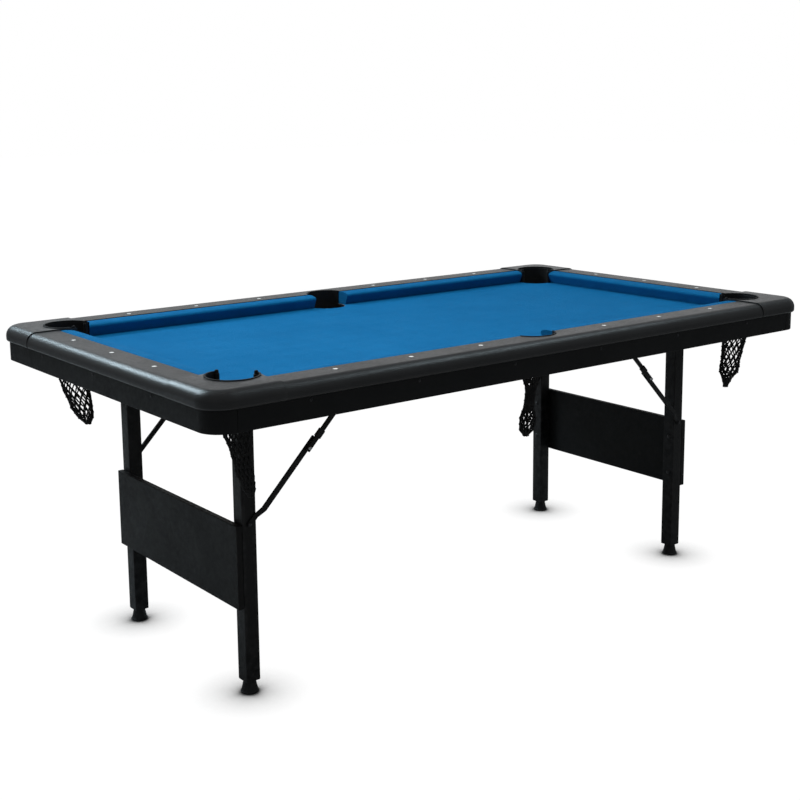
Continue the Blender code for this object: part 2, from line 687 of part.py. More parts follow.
def build_lower_link(name, end, side, pivot, material):
    """It hangs on the leg by a flat end, steps out to its own lane and passes the knee."""
    direction = Vector((-end * math.cos(BRACE_ANGLE), 0.0, math.sin(BRACE_ANGLE)))
    across = Vector((end * math.sin(BRACE_ANGLE), 0.0, math.cos(BRACE_ANGLE)))
    half = LOWER_LINK_WIDTH / 2
    flat_inner = LEG_OUTER_FACE + 2 * RUNNING_CLEARANCE
    flat = (side * flat_inner, side * (flat_inner + FLAT_END_THICKNESS))
    lane = (side * LOWER_INNER, side * LOWER_OUTER)
    tip = LOWER_LINK_LENGTH + LOWER_LINK_TAIL
    stations = rounded_end(half, flat)
    stations += [(FLAT_END_LENGTH, half, *flat), (FLAT_END_LENGTH + JOGGLE_LENGTH, half, *lane)]
    stations += [(tip, half, *lane)]
    link = add_object(name, link_body(pivot.location, direction, across, stations), material, pivot)
    hole = BRACE_PIN_RADIUS + RUNNING_CLEARANCE
    start = pivot.location.copy()
    start.y = side * (LEG_OUTER_FACE - LEG_WIDTH / 4)
    through = turned(start, (0, side, 0), ((0, hole), (LEG_WIDTH, hole)), PIN_STEPS)
    boolean(link, through, "DIFFERENCE")


def build_upper_link(name, end, side, pivot, material):
    direction = Vector((end * math.cos(BRACE_ANGLE), 0.0, -math.sin(BRACE_ANGLE)))
    across = Vector((end * math.sin(BRACE_ANGLE), 0.0, math.cos(BRACE_ANGLE)))
    lane = (side * UPPER_INNER, side * UPPER_OUTER)
    half = UPPER_LINK_WIDTH / 2
    stations = rounded_end(half, lane)
    stations += [(UPPER_LINK_LENGTH + UPPER_LINK_END, half, *lane)]
    link = add_object(name, link_body(pivot.location, direction, across, stations), material, pivot)
    hole = BRACE_PIN_RADIUS + RUNNING_CLEARANCE
    start = pivot.location.copy()
    start.y = side * (UPPER_INNER - LINK_THICKNESS)
    through = turned(start, (0, side, 0), ((0, hole), (3 * LINK_THICKNESS, hole)), PIN_STEPS)
    boolean(link, through, "DIFFERENCE")


def build_lock_ring(name, end, side, slider, material):
    """A sleeve round the upper link, at rest just above the lower link's end."""
    direction = Vector((-end * math.cos(BRACE_ANGLE), 0.0, math.sin(BRACE_ANGLE)))
    across = Vector((end * math.sin(BRACE_ANGLE), 0.0, math.cos(BRACE_ANGLE)))
    loops = []
    for distance, grow in ((0.0, 1), (RING_LENGTH, 1), (RING_LENGTH, 0), (0.0, 0)):
        margin = RING_CLEARANCE + grow * RING_WALL
        half = UPPER_LINK_WIDTH / 2 + margin
        low = side * (UPPER_INNER - margin)
        high = side * (UPPER_OUTER + margin)
        centre = slider.location + direction * distance
        near = centre - across * half
        far = centre + across * half
        loop = [(near.x, low, near.z), (far.x, low, far.z)]
        loop += [(far.x, high, far.z), (near.x, high, near.z)]
        loops.append(loop)
    add_object(name, loft(loops, closed=True), material, slider)


def build_brace(side_name, side, end_name, end, frame, material):
    where = f"{side_name}_{end_name}"
    lower_pin = Vector((end * LEG_X, side * LOWER_INNER, BRACE_LOWER_PIN_Z))
    lower = add_empty(f"joint_lower_link_{where}", lower_pin)
    build_lower_link(f"lower_link_{where}", end, side, lower, material)
    upper_pin = Vector((end * BRACE_UPPER_PIN_X, side * UPPER_INNER, BRACE_UPPER_PIN_Z))
    upper = add_empty(f"joint_upper_link_{where}", upper_pin)
    build_upper_link(f"upper_link_{where}", end, side, upper, material)
    along = Vector((-end * math.cos(BRACE_ANGLE), 0.0, math.sin(BRACE_ANGLE)))
    place = lower_pin + along * (LOWER_LINK_LENGTH + LOWER_LINK_TAIL + RING_ABOVE_TAIL)
    place.y = side * UPPER_INNER
    slider = add_empty(f"joint_lock_ring_{where}", place)
    build_lock_ring(f"lock_ring_{where}", end, side, slider, material)


# ---------------------------------------------------------------- the table


def main():
    clear_scene()
    cloth = make_material("Blue cloth", (0.011, 0.181, 0.423), 0.95)
    laminate = make_material("Black laminate", (0.030, 0.031, 0.033), 0.45)
    plastic = make_material("Black plastic", (0.040, 0.041, 0.043), 0.50)
    apron = make_material("Black apron", (0.009, 0.009, 0.010), 0.45)
    board = make_material("Bed board", (0.300, 0.200, 0.110), 0.80)
    steel = make_material("Black painted steel", (0.008, 0.008, 0.009), 0.40)
    panel = make_material("Black panel", (0.007, 0.007, 0.008), 0.50)
    string = make_material("Black net string", (0.006, 0.006, 0.006), 0.85)
    foot = make_material("Foot plastic", (0.008, 0.008, 0.008), 0.55)

    root = add_empty("table", (0.0, 0.0, 0.0))
    build_bed(root, board, cloth)
    build_rails(root, laminate)
    build_corners(root, plastic)
    build_side_liners(root, plastic)
    build_cushions(root, cloth)
    build_aprons(root, apron)
    build_nets(root, string)
    build_leg_brackets(root, steel)
    build_brace_brackets(root, steel)
    for end_name, end in ENDS:
        frame = add_empty(f"joint_leg_fold_{end_name}", (end * LEG_X, 0.0, LEG_PIVOT_Z))
        build_leg_frame(end_name, end, frame, steel, panel)
        for side_name, side in SIDES:
            where = f"{side_name}_{end_name}"
            place = (end * LEG_X, side * LEG_Y, 0.0)
            slider = add_empty(f"joint_foot_{where}", place)
            build_foot(f"foot_{where}", end, side, slider, foot)
            build_brace(side_name, side, end_name, end, frame, steel)
    bpy.context.view_layer.update()


main()
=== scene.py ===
# %% [markdown]
# # A folding mini pool table
#
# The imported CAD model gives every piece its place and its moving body. This lesson dresses it
# one piece at a time, as a modeller would by hand: cloth, cushions, rails, moulded corners,
# pockets, nets, legs and folding braces. It starts by loading the model as a fixed frame.

# %% Load the frame
import math

import bmesh
import bpy
from mathutils import Matrix, Vector, noise


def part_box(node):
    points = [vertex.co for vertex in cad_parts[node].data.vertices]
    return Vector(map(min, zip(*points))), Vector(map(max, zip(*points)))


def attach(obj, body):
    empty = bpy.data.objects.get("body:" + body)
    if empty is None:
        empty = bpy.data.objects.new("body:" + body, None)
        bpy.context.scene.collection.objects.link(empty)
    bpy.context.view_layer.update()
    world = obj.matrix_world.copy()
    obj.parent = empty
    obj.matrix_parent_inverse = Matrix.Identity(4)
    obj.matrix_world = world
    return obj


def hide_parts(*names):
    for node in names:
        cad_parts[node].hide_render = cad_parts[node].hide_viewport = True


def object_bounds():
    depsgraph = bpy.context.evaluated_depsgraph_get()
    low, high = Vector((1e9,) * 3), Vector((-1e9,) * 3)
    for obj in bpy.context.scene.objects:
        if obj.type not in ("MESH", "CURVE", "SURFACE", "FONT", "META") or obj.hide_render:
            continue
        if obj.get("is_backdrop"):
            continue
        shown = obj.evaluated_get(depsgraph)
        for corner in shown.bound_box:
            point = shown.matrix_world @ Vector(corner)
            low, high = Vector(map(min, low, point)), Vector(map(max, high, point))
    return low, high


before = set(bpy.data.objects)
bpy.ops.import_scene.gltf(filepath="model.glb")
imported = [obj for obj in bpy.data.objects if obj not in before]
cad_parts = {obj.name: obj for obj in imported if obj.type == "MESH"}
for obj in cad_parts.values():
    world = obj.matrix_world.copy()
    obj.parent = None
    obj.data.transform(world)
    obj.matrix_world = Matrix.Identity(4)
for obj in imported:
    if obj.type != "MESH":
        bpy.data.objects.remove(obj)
cad_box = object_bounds()
print("CAD box:", [tuple(round(c, 4) for c in corner) for corner in cad_box])

# %% [markdown]
# ## Camera
#
# The table is seen from its near left corner, a little above the rails. The camera's direction
# is given as a compass angle, a tilt down and a very small roll. A camera looks along its own
# -Z, so its matrix has right, up and backwards as columns. The small vertical shift frames the
# table without tilting the camera further, which keeps the legs upright.

# %% Make the camera
CAMERA_PLACE = (-2.2132, -2.7500, 1.3556)
CAMERA_YAW, CAMERA_TILT, CAMERA_ROLL = (math.radians(a) for a in (37.96, -9.54, -0.53))
LENS_MM = 58.57
SHIFT_UP = -0.100

forward = Vector(
    (
        math.sin(CAMERA_YAW) * math.cos(CAMERA_TILT),
        math.cos(CAMERA_YAW) * math.cos(CAMERA_TILT),
        math.sin(CAMERA_TILT),
    )
)
level_right = Vector((math.cos(CAMERA_YAW), -math.sin(CAMERA_YAW), 0.0))
level_up = level_right.cross(forward)
right = level_right * math.cos(CAMERA_ROLL) + level_up * math.sin(CAMERA_ROLL)
up = level_up * math.cos(CAMERA_ROLL) - level_right * math.sin(CAMERA_ROLL)
camera = bpy.data.objects.new("Camera", bpy.data.cameras.new("Camera"))
bpy.context.scene.collection.objects.link(camera)
turn = Matrix((right, up, -forward)).transposed().to_4x4()
camera.matrix_world = Matrix.Translation(CAMERA_PLACE) @ turn
camera.data.sensor_width = 36.0
camera.data.lens = LENS_MM
camera.data.shift_y = SHIFT_UP
bpy.context.scene.camera = camera
bpy.context.scene.view_settings.view_transform = "Standard"
print("camera looks along", tuple(round(c, 3) for c in forward))

# %% [markdown]
# ## Floor and light
#
# The studio has a plain pale floor that runs out of sight. To the camera the floor gives off
# most of its own brightness, so it stays even, and an ambient occlusion node leaves only soft
# dark patches where the feet meet it. The lamps are large and soft. The one
# overhead lights the cloth, and a narrow one beside it makes the near half a little brighter.
# Both are left out of reflections, so they draw no highlight of their own. The low lamp far
# behind the table shines along the rails' flat tops, so they look paler than their rounded
# edges. Two smaller ones draw the long highlights on the end rail and the long rail.

# %% Make the floor
FLOOR_SIZE = 60.0
SHADOW_REACH = 0.125
SHADOW_SAMPLES = 12
FULL_SHADOW, NO_SHADOW = 0.66, 0.985  # how open a spot is where its shadow is darkest and ends
DARKEST = 0.06


def stage_material():
    """Pale to the camera, with soft contact shadows, and a plain grey floor to all other rays."""
    material = bpy.data.materials.new("Studio floor")
    material.use_nodes = True
    nodes, links = material.node_tree.nodes, material.node_tree.links
    nodes.clear()
    occlusion = nodes.new("ShaderNodeAmbientOcclusion")
    occlusion.samples = SHADOW_SAMPLES
    occlusion.inputs["Distance"].default_value = SHADOW_REACH
    shade = nodes.new("ShaderNodeMapRange")
    shade.inputs["From Min"].default_value = FULL_SHADOW
    shade.inputs["From Max"].default_value = NO_SHADOW
    shade.inputs["To Min"].default_value = DARKEST
    shine = nodes.new("ShaderNodeEmission")
    diffuse = nodes.new("ShaderNodeBsdfDiffuse")
    diffuse.inputs["Color"].default_value = (0.45, 0.45, 0.45, 1.0)
    faint = nodes.new("ShaderNodeBsdfDiffuse")
    faint.inputs["Color"].default_value = (0.035, 0.035, 0.036, 1.0)
    both = nodes.new("ShaderNodeAddShader")
    ray = nodes.new("ShaderNodeLightPath")
    mix = nodes.new("ShaderNodeMixShader")
    out = nodes.new("ShaderNodeOutputMaterial")
    links.new(occlusion.outputs["AO"], shade.inputs["Value"])
    links.new(shade.outputs["Result"], shine.inputs["Strength"])
    links.new(shine.outputs[0], both.inputs[0])
    links.new(faint.outputs[0], both.inputs[1])
    links.new(ray.outputs["Is Camera Ray"], mix.inputs["Fac"])
    links.new(diffuse.outputs[0], mix.inputs[1])
    links.new(both.outputs[0], mix.inputs[2])
    links.new(mix.outputs[0], out.inputs["Surface"])
    return material


bpy.ops.object.select_all(action="DESELECT")
bpy.ops.mesh.primitive_plane_add(size=FLOOR_SIZE, location=(0.0, 0.0, 0.0))
floor = bpy.context.active_object
floor.name = "Floor"
floor.data.materials.append(stage_material())
floor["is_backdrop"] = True
print("floor:", [round(side) for side in floor.dimensions[:2]])

# %% Set the light
AMBIENT = 0.25


def set_world():
    """White behind the table, and a dim even light on it."""
    world = bpy.data.worlds.new("Studio")
    bpy.context.scene.world = world
    world.use_nodes = True
    nodes, links = world.node_tree.nodes, world.node_tree.links
    nodes.clear()
    seen = nodes.new("ShaderNodeBackground")
    seen.inputs["Color"].default_value = (1.0, 1.0, 1.0, 1.0)
    lit = nodes.new("ShaderNodeBackground")
    lit.inputs["Color"].default_value = (0.93, 0.97, 1.0, 1.0)
    lit.inputs["Strength"].default_value = AMBIENT
    ray = nodes.new("ShaderNodeLightPath")
    mix = nodes.new("ShaderNodeMixShader")
    out = nodes.new("ShaderNodeOutputWorld")
    links.new(ray.outputs["Is Camera Ray"], mix.inputs["Fac"])
    links.new(lit.outputs[0], mix.inputs[1])
    links.new(seen.outputs[0], mix.inputs[2])
    links.new(mix.outputs[0], out.inputs["Surface"])


def add_softbox(name, place, target, size, power, tint=(1.0, 1.0, 1.0)):
    """A rectangular lamp at a place, facing a target: its size in metres, its power in watts."""
    light = bpy.data.lights.new(name, "AREA")
    light.shape = "RECTANGLE"
    light.size, light.size_y = size
    light.energy = power
    light.color = tint
    lamp = bpy.data.objects.new(name, light)
    bpy.context.scene.collection.objects.link(lamp)
    lamp.location = place
    lamp.rotation_euler = (Vector(target) - Vector(place)).to_track_quat("-Z", "Y").to_euler()
    lamp.visible_camera = False
    return lamp


set_world()
COOL = (0.72, 0.90, 1.0)
PALE = (0.75, 0.92, 1.0)
overhead = add_softbox(
    "Overhead softbox", (0.35, 0.45, 3.3), (0.25, 0.3, 0.75), (2.6, 2.0), 37.0
)
near_top = add_softbox(
    "Near softbox", (-0.75, -0.5, 3.0), (-0.7, -0.4, 0.75), (1.2, 1.0), 7.0
)
near_top.data.spread = math.radians(84.0)
for lamp in (overhead, near_top):
    lamp.visible_glossy = False
add_softbox("Backdrop softbox", (3.4, 4.4, 1.9), (0.0, 0.0, 0.78), (7.0, 2.2), 24.0)
add_softbox(
    "End rail softbox", (-1.3, 2.4, 2.7), (-0.92, 0.0, 0.78), (0.9, 0.8), 68.0, COOL
)
add_softbox(
    "Long rail softbox", (1.9, -0.8, 3.2), (0.0, -0.5, 0.78), (0.8, 0.8), 16.0, PALE
)

# %% [markdown]
# ## Node groups
#
# Several finishes share the same effects: a cloudy change of tone, a fine grain, threads,
# handling marks and rubbed edges. Each effect is a node group with its own inputs, so it is
# built once and tuned in each material. The groups give out colours, masks and heights only.

# %% Node group helpers
def new_group(name, inputs, output):
    """An empty group with a Vector input, the other inputs and one output."""
    group = bpy.data.node_groups.new(name, "ShaderNodeTree")
    group.interface.new_socket(name="Vector", in_out="INPUT", socket_type="NodeSocketVector")
    for label, kind, value in inputs:
        socket = group.interface.new_socket(
            name=label, in_out="INPUT", socket_type=f"NodeSocket{kind}"
        )
        socket.default_value = value
    label, kind = output
    group.interface.new_socket(name=label, in_out="OUTPUT", socket_type=f"NodeSocket{kind}")
    return group, group.nodes.new("NodeGroupInput"), group.nodes.new("NodeGroupOutput")


def add_noise(group, source, scale, detail, roughness=0.5):
    """A noise node on the group's vector. scale is a number, or an output to read."""
    node = group.nodes.new("ShaderNodeTexNoise")
    node.inputs["Detail"].default_value = detail
    node.inputs["Roughness"].default_value = roughness
    group.links.new(source.outputs["Vector"], node.inputs["Vector"])
    if isinstance(scale, float):
        node.inputs["Scale"].default_value = scale
    else:
        group.links.new(scale, node.inputs["Scale"])
    return node


def add_maths(group, operation, first, second):
    """A Math node on two values. Each is a number, or an output to read."""
    node = group.nodes.new("ShaderNodeMath")
    node.operation = operation
    for socket, value in zip(node.inputs, (first, second)):
        if isinstance(value, float):
            socket.default_value = value
        else:
            group.links.new(value, socket)
    return node.outputs[0]


def add_range(group, value, low, high, to_low=0.0, to_high=1.0):
    """A Map Range node that turns low to high into to_low to to_high."""
    node = group.nodes.new("ShaderNodeMapRange")
    group.links.new(value, node.inputs["Value"])
    names = ("From Min", "From Max", "To Min", "To Max")
    for name, number in zip(names, (low, high, to_low, to_high)):
        if isinstance(number, float):
            node.inputs[name].default_value = number
        else:
            group.links.new(number, node.inputs[name])
    return node.outputs["Result"]


# %% Cloudy tone
def make_cloudy_tone():
    """Two colours in soft clouds, as pigment or nap that isn't quite even."""
    colour = (0.5, 0.5, 0.5, 1.0)
    group, given, out = new_group(
        "Cloudy tone",
        [("Scale", "Float", 8.0), ("Dark", "Color", colour), ("Light", "Color", colour)],
        ("Colour", "Color"),
    )
    clouds = add_noise(group, given, given.outputs["Scale"], 5.0, 0.6)
    share = add_range(group, clouds.outputs["Fac"], 0.32, 0.68)
    mix = group.nodes.new("ShaderNodeMix")
    mix.data_type = "RGBA"
    group.links.new(share, mix.inputs["Factor"])
    group.links.new(given.outputs["Dark"], mix.inputs[6])
    group.links.new(given.outputs["Light"], mix.inputs[7])
    group.links.new(mix.outputs[2], out.inputs["Colour"])
    return group


cloudy_tone = make_cloudy_tone()

# %% Fine grain
def make_fine_grain():
    """The height of a moulded or coated surface: small pebbles with finer noise on them."""
    group, given, out = new_group("Fine grain", [("Scale", "Float", 700.0)], ("Height", "Float"))
    pebbles = group.nodes.new("ShaderNodeTexVoronoi")
    pebbles.feature = "SMOOTH_F1"
    pebbles.inputs["Smoothness"].default_value = 0.6
    group.links.new(given.outputs["Vector"], pebbles.inputs["Vector"])
    group.links.new(given.outputs["Scale"], pebbles.inputs["Scale"])
    fine = add_noise(group, given, add_maths(group, "MULTIPLY", given.outputs["Scale"], 1.7), 3.0)
    half = add_maths(group, "MULTIPLY", fine.outputs["Fac"], 0.5)
    height = add_maths(group, "ADD", pebbles.outputs["Distance"], half)
    group.links.new(height, out.inputs["Height"])
    return group


fine_grain = make_fine_grain()

# %% Threads
WAVE_SCALE = 0.159  # a Wave texture's Scale, for each thread in a metre, at a wave every two


def make_threads():
    """The height of a plain weave. Z is added to X and Y, so upright faces get threads too."""
    group, given, out = new_group("Threads", [("Per metre", "Float", 900.0)], ("Height", "Float"))
    split = group.nodes.new("ShaderNodeSeparateXYZ")
    group.links.new(given.outputs["Vector"], split.inputs[0])
    join = group.nodes.new("ShaderNodeCombineXYZ")
    for axis in ("X", "Y"):
        slanted = add_maths(group, "ADD", split.outputs[axis], split.outputs["Z"])
        group.links.new(slanted, join.inputs[axis])
    checks = group.nodes.new("ShaderNodeTexChecker")
    group.links.new(join.outputs[0], checks.inputs["Vector"])
    group.links.new(given.outputs["Per metre"], checks.inputs["Scale"])
    mix = group.nodes.new("ShaderNodeMix")
    group.links.new(checks.outputs["Fac"], mix.inputs["Factor"])
    for direction, socket in (("X", 2), ("Y", 3)):
        thread = group.nodes.new("ShaderNodeTexWave")
        thread.bands_direction = direction
        thread.inputs["Distortion"].default_value = 0.4
        rate = add_maths(group, "MULTIPLY", given.outputs["Per metre"], WAVE_SCALE)
        group.links.new(rate, thread.inputs["Scale"])
        group.links.new(join.outputs[0], thread.inputs["Vector"])
        group.links.new(thread.outputs["Fac"], mix.inputs[socket])
    group.links.new(mix.outputs[0], out.inputs["Height"])
    return group


threads = make_threads()

# %% Handling marks
def make_handling_marks():
    """A roughness that wanders between two values, as hands and polish leave it."""
    group, given, out = new_group(
        "Handling marks",
        [("Scale", "Float", 9.0), ("Low", "Float", 0.3), ("High", "Float", 0.5)],
        ("Roughness", "Float"),
    )
    broad = add_noise(group, given, given.outputs["Scale"], 4.0, 0.65)
    fine = add_noise(group, given, add_maths(group, "MULTIPLY", given.outputs["Scale"], 11.0), 2.0)
    mixed = add_maths(group, "ADD", broad.outputs["Fac"], fine.outputs["Fac"])
    value = add_range(group, mixed, 0.7, 1.3, given.outputs["Low"], given.outputs["High"])
    group.links.new(value, out.inputs["Roughness"])
    return group


handling_marks = make_handling_marks()

# %% Rubbed edges
def make_rubbed_edges():
    """A mask that is high on the outer edges of a piece, broken up by noise."""
    group, given, out = new_group("Rubbed edges", [("Scale", "Float", 60.0)], ("Mask", "Float"))
    geometry = group.nodes.new("ShaderNodeNewGeometry")
    edge = add_range(group, geometry.outputs["Pointiness"], 0.53, 0.62)
    breaks = add_noise(group, given, given.outputs["Scale"], 3.0)
    broken = add_range(group, breaks.outputs["Fac"], 0.40, 0.62)
    group.links.new(add_maths(group, "MULTIPLY", edge, broken), out.inputs["Mask"])
    return group


rubbed_edges = make_rubbed_edges()

# %% Settled dust
def make_settled_dust():
    """A mask for a little dust on faces that look up."""
    group, given, out = new_group("Settled dust", [("Amount", "Float", 0.2)], ("Mask", "Float"))
    geometry = group.nodes.new("ShaderNodeNewGeometry")
    split = group.nodes.new("ShaderNodeSeparateXYZ")
    group.links.new(geometry.outputs["Normal"], split.inputs[0])
    upward = add_range(group, split.outputs["Z"], 0.4, 1.0)
    specks = add_noise(group, given, 240.0, 4.0, 0.7)
    patchy = add_range(group, specks.outputs["Fac"], 0.45, 0.75)
    settled = add_maths(group, "MULTIPLY", upward, patchy)
    group.links.new(
        add_maths(group, "MULTIPLY", settled, given.outputs["Amount"]), out.inputs["Mask"]
    )
    return group


settled_dust = make_settled_dust()
print("node groups:", [group.name for group in bpy.data.node_groups])

# %% [markdown]
# ## Materials
#
# A material here is a Principled shader and the groups above, each with its own values. The
# tone gives the base colour, the marks give the roughness, and the grain or the threads feed a
# Bump node. Numbers that are the same all over are set on the shader itself.

# %% Material helpers
DUST_COLOUR = (0.32, 0.31, 0.30, 1.0)
MARKS_SCALE = 9.0


def place_group(material, group, **values):
    """A group node in a material, reading the piece's own coordinates."""
    tree = material.node_tree
    node = tree.nodes.new("ShaderNodeGroup")
    node.node_tree = group
    for label, value in values.items():
        node.inputs[label.replace("_", " ")].default_value = value
    tree.links.new(tree.nodes["Coordinates"].outputs["Object"], node.inputs["Vector"])
    return node.outputs[0]


def mix_colour(material, mask, base, over):
    """Lays one colour over another by a mask."""
    tree = material.node_tree
    mix = tree.nodes.new("ShaderNodeMix")
    mix.data_type = "RGBA"
    tree.links.new(mask, mix.inputs["Factor"])
    tree.links.new(base, mix.inputs[6])
    mix.inputs[7].default_value = over
    return mix.outputs[2]


def finish(name, dark, light, tone_scale, roughness, bump, **shader_values):
    """A finish from a tone, handling marks and a relief: bump is its group, values and depth."""
    material = bpy.data.materials.new(name)
    material.use_nodes = True
    tree = material.node_tree
    coordinates = tree.nodes.new("ShaderNodeTexCoord")
    coordinates.name = "Coordinates"
    shader = tree.nodes["Principled BSDF"]
    colour = place_group(
        material, cloudy_tone, Scale=tone_scale, Dark=(*dark, 1.0), Light=(*light, 1.0)
    )
    tree.links.new(colour, shader.inputs["Base Color"])
    low, high = roughness
    marks = place_group(material, handling_marks, Scale=MARKS_SCALE, Low=low, High=high)
    tree.links.new(marks, shader.inputs["Roughness"])
    for label, value in shader_values.items():
        shader.inputs[label.replace("_", " ")].default_value = value
    group, values, depth = bump
    relief = tree.nodes.new("ShaderNodeBump")
    relief.inputs["Distance"].default_value = depth
    tree.links.new(place_group(material, group, **values), relief.inputs["Height"])
    tree.links.new(relief.outputs["Normal"], shader.inputs["Normal"])
    return material


def lay_over(material, group, over, **values):
    """Adds dust or rubbed edges over a finish's base colour."""
    tree = material.node_tree
    socket = tree.nodes["Principled BSDF"].inputs["Base Color"]
    below = socket.links[0].from_socket
    mask = place_group(material, group, **values)
    tree.links.new(mix_colour(material, mask, below, over), socket)
    return material


# %% Make the finishes
WOVEN = {
    "bump": (threads, {"Per_metre": 1100.0}, 0.00035),
    "Specular_IOR_Level": 0.06,
    "Sheen_Weight": 0.02,
    "Sheen_Roughness": 0.45,
    "Sheen_Tint": (0.30, 0.62, 1.0, 1.0),
}
bed_cloth_blue = finish(
    "Bed cloth", (0.0032, 0.118, 0.290), (0.0050, 0.134, 0.322), 5.0, (0.86, 0.98), **WOVEN
)
cushion_cloth_blue = finish(
    "Cushion cloth", (0.0030, 0.112, 0.276), (0.0048, 0.130, 0.314), 14.0, (0.84, 0.98), **WOVEN
)
rail_black = finish(
    "Rail laminate", (0.0085, 0.0088, 0.0092), (0.0120, 0.0123, 0.0128), 16.0, (0.30, 0.40),
    bump=(fine_grain, {"Scale": 900.0}, 0.00020), Specular_IOR_Level=0.42,
)
corner_black = finish(
    "Moulded corner plastic", (0.0085, 0.0088, 0.0092), (0.0120, 0.0123, 0.0128), 16.0,
    (0.30, 0.40), bump=(fine_grain, {"Scale": 900.0}, 0.00020), Specular_IOR_Level=0.42,
)
# A blacker finish for the pocket parts. On the corner's lip and pocket wall it is partly the
# rubber's own black and partly painted shade where they curve down into the hole.
lip_black_and_shade = finish(
    "Pocket lip rubber and painted shade", (0.0030, 0.0030, 0.0032), (0.0055, 0.0055, 0.0058), 30.0,
    (0.48, 0.62), bump=(fine_grain, {"Scale": 800.0}, 0.0003), Specular_IOR_Level=0.25,
)
apron_black = finish(
    "Apron laminate", (0.0042, 0.0043, 0.0045), (0.0062, 0.0063, 0.0066), 12.0,
    (0.42, 0.56), bump=(fine_grain, {"Scale": 1100.0}, 0.0002), Specular_IOR_Level=0.16,
)
steel_black = finish(
    "Black powder coat", (0.0035, 0.0035, 0.0037), (0.0055, 0.0055, 0.0058), 20.0,
    (0.34, 0.48), bump=(fine_grain, {"Scale": 520.0}, 0.0005), Specular_IOR_Level=0.20,
)
panel_black = finish(
    "Black melamine board", (0.0036, 0.0036, 0.0038), (0.0054, 0.0054, 0.0057), 10.0,
    (0.46, 0.60), bump=(fine_grain, {"Scale": 1000.0}, 0.0003), Specular_IOR_Level=0.18,
)
string_black = finish(
    "Net string", (0.0030, 0.0030, 0.0030), (0.0090, 0.0090, 0.0090), 160.0, (0.75, 0.95),
    bump=(threads, {"Per_metre": 1500.0}, 0.0012), Specular_IOR_Level=0.20, Sheen_Weight=0.1,
)
foot_black = finish(
    "Foot plastic", (0.0045, 0.0045, 0.0047), (0.0075, 0.0075, 0.0078), 40.0, (0.40, 0.55),
    bump=(fine_grain, {"Scale": 700.0}, 0.0004), Specular_IOR_Level=0.30,
)
board_brown = finish(
    "Raw chipboard", (0.170, 0.105, 0.052), (0.420, 0.300, 0.175), 220.0, (0.78, 0.95),
    bump=(fine_grain, {"Scale": 300.0}, 0.0010), Specular_IOR_Level=0.20,
)
sight_pearl = finish(
    "Pearl sight", (0.66, 0.68, 0.66), (0.86, 0.86, 0.83), 420.0, (0.14, 0.26),
    bump=(fine_grain, {"Scale": 400.0}, 0.00005), Coat_Weight=0.6, Coat_Roughness=0.08,
)
screw_dark = finish(
    "Blackened screw steel", (0.030, 0.030, 0.032), (0.060, 0.060, 0.062), 300.0,
    (0.28, 0.45), bump=(fine_grain, {"Scale": 900.0}, 0.0002), Metallic=0.9,
)
rivet_bright = finish(
    "Zinc plated rivet", (0.42, 0.42, 0.43), (0.62, 0.62, 0.63), 240.0, (0.22, 0.38),
    bump=(fine_grain, {"Scale": 900.0}, 0.0002), Metallic=1.0,
)
for worn, over in (
    (steel_black, (0.030, 0.030, 0.031, 1.0)),
    (panel_black, (0.028, 0.026, 0.024, 1.0)),
    (foot_black, (0.030, 0.030, 0.030, 1.0)),
    (corner_black, (0.060, 0.061, 0.063, 1.0)),
):
    lay_over(worn, rubbed_edges, over)
for dusty, amount in ((steel_black, 0.10), (foot_black, 0.16), (apron_black, 0.06)):
    lay_over(dusty, settled_dust, DUST_COLOUR, Amount=amount)
print("finishes:", len(bpy.data.materials))

# %% [markdown]
# ## Modelling by hand, in code
#
# These few helpers stand for what the hands do in Blender: clear the selection, add a shape,
# enter edit mode, pick faces or edges by where they are, and apply a modifier. A finished piece
# has its place in its mesh, so its object sits at the origin like the CAD pieces.

# %% Selecting and editing
TINY = 0.0004  # how near a face a point counts as on it
MERGE = 0.00001


def deselect():
    if bpy.context.mode != "OBJECT":
        bpy.ops.object.mode_set(mode="OBJECT")
    bpy.ops.object.select_all(action="DESELECT")


def take(name):
    """Names the shape that was just added and puts its place into its mesh."""
    piece = bpy.context.active_object
    piece.name = piece.data.name = name
    bpy.ops.object.transform_apply(location=True, rotation=True, scale=True)
    return piece


def work_on(piece):
    """Enters edit mode on one piece."""
    deselect()
    piece.select_set(True)
    bpy.context.view_layer.objects.active = piece
    bpy.ops.object.mode_set(mode="EDIT")


def leave_edit():
    bpy.ops.object.mode_set(mode="OBJECT")


def pick(kind, test):
    """In edit mode, selects the faces or edges that pass test(middle, direction)."""
    bpy.ops.mesh.select_mode(type=kind)
    bpy.ops.mesh.select_all(action="DESELECT")
    data = bpy.context.edit_object.data
    shape = bmesh.from_edit_mesh(data)
    if kind == "FACE":
        found = [f for f in shape.faces if test(f.calc_center_median(), f.normal)]
    else:
        found = []
        for edge in shape.edges:
            first, second = (vertex.co for vertex in edge.verts)
            if test((first + second) / 2, (second - first).normalized()):
                found.append(edge)
    for item in found:
        item.select_set(True)
    shape.select_flush_mode()
    bmesh.update_edit_mesh(data)


def round_edges(width, segments):
    """Bevels the selected edges into an arc."""
    bpy.ops.mesh.bevel(offset=width, segments=segments, profile=0.5, affect="EDGES")


def face_outwards(piece):
    work_on(piece)
    bpy.ops.mesh.select_all(action="SELECT")
    bpy.ops.mesh.remove_doubles(threshold=MERGE)
    bpy.ops.mesh.normals_make_consistent(inside=False)
    leave_edit()


# %% Adding, cutting and copying shapes
def add_block(name, low, high):
    """A cube primitive that fills the space between two corners."""
    deselect()
    low, high = Vector(low), Vector(high)
    bpy.ops.mesh.primitive_cube_add(size=1.0, location=(low + high) / 2, scale=high - low)
    return take(name)


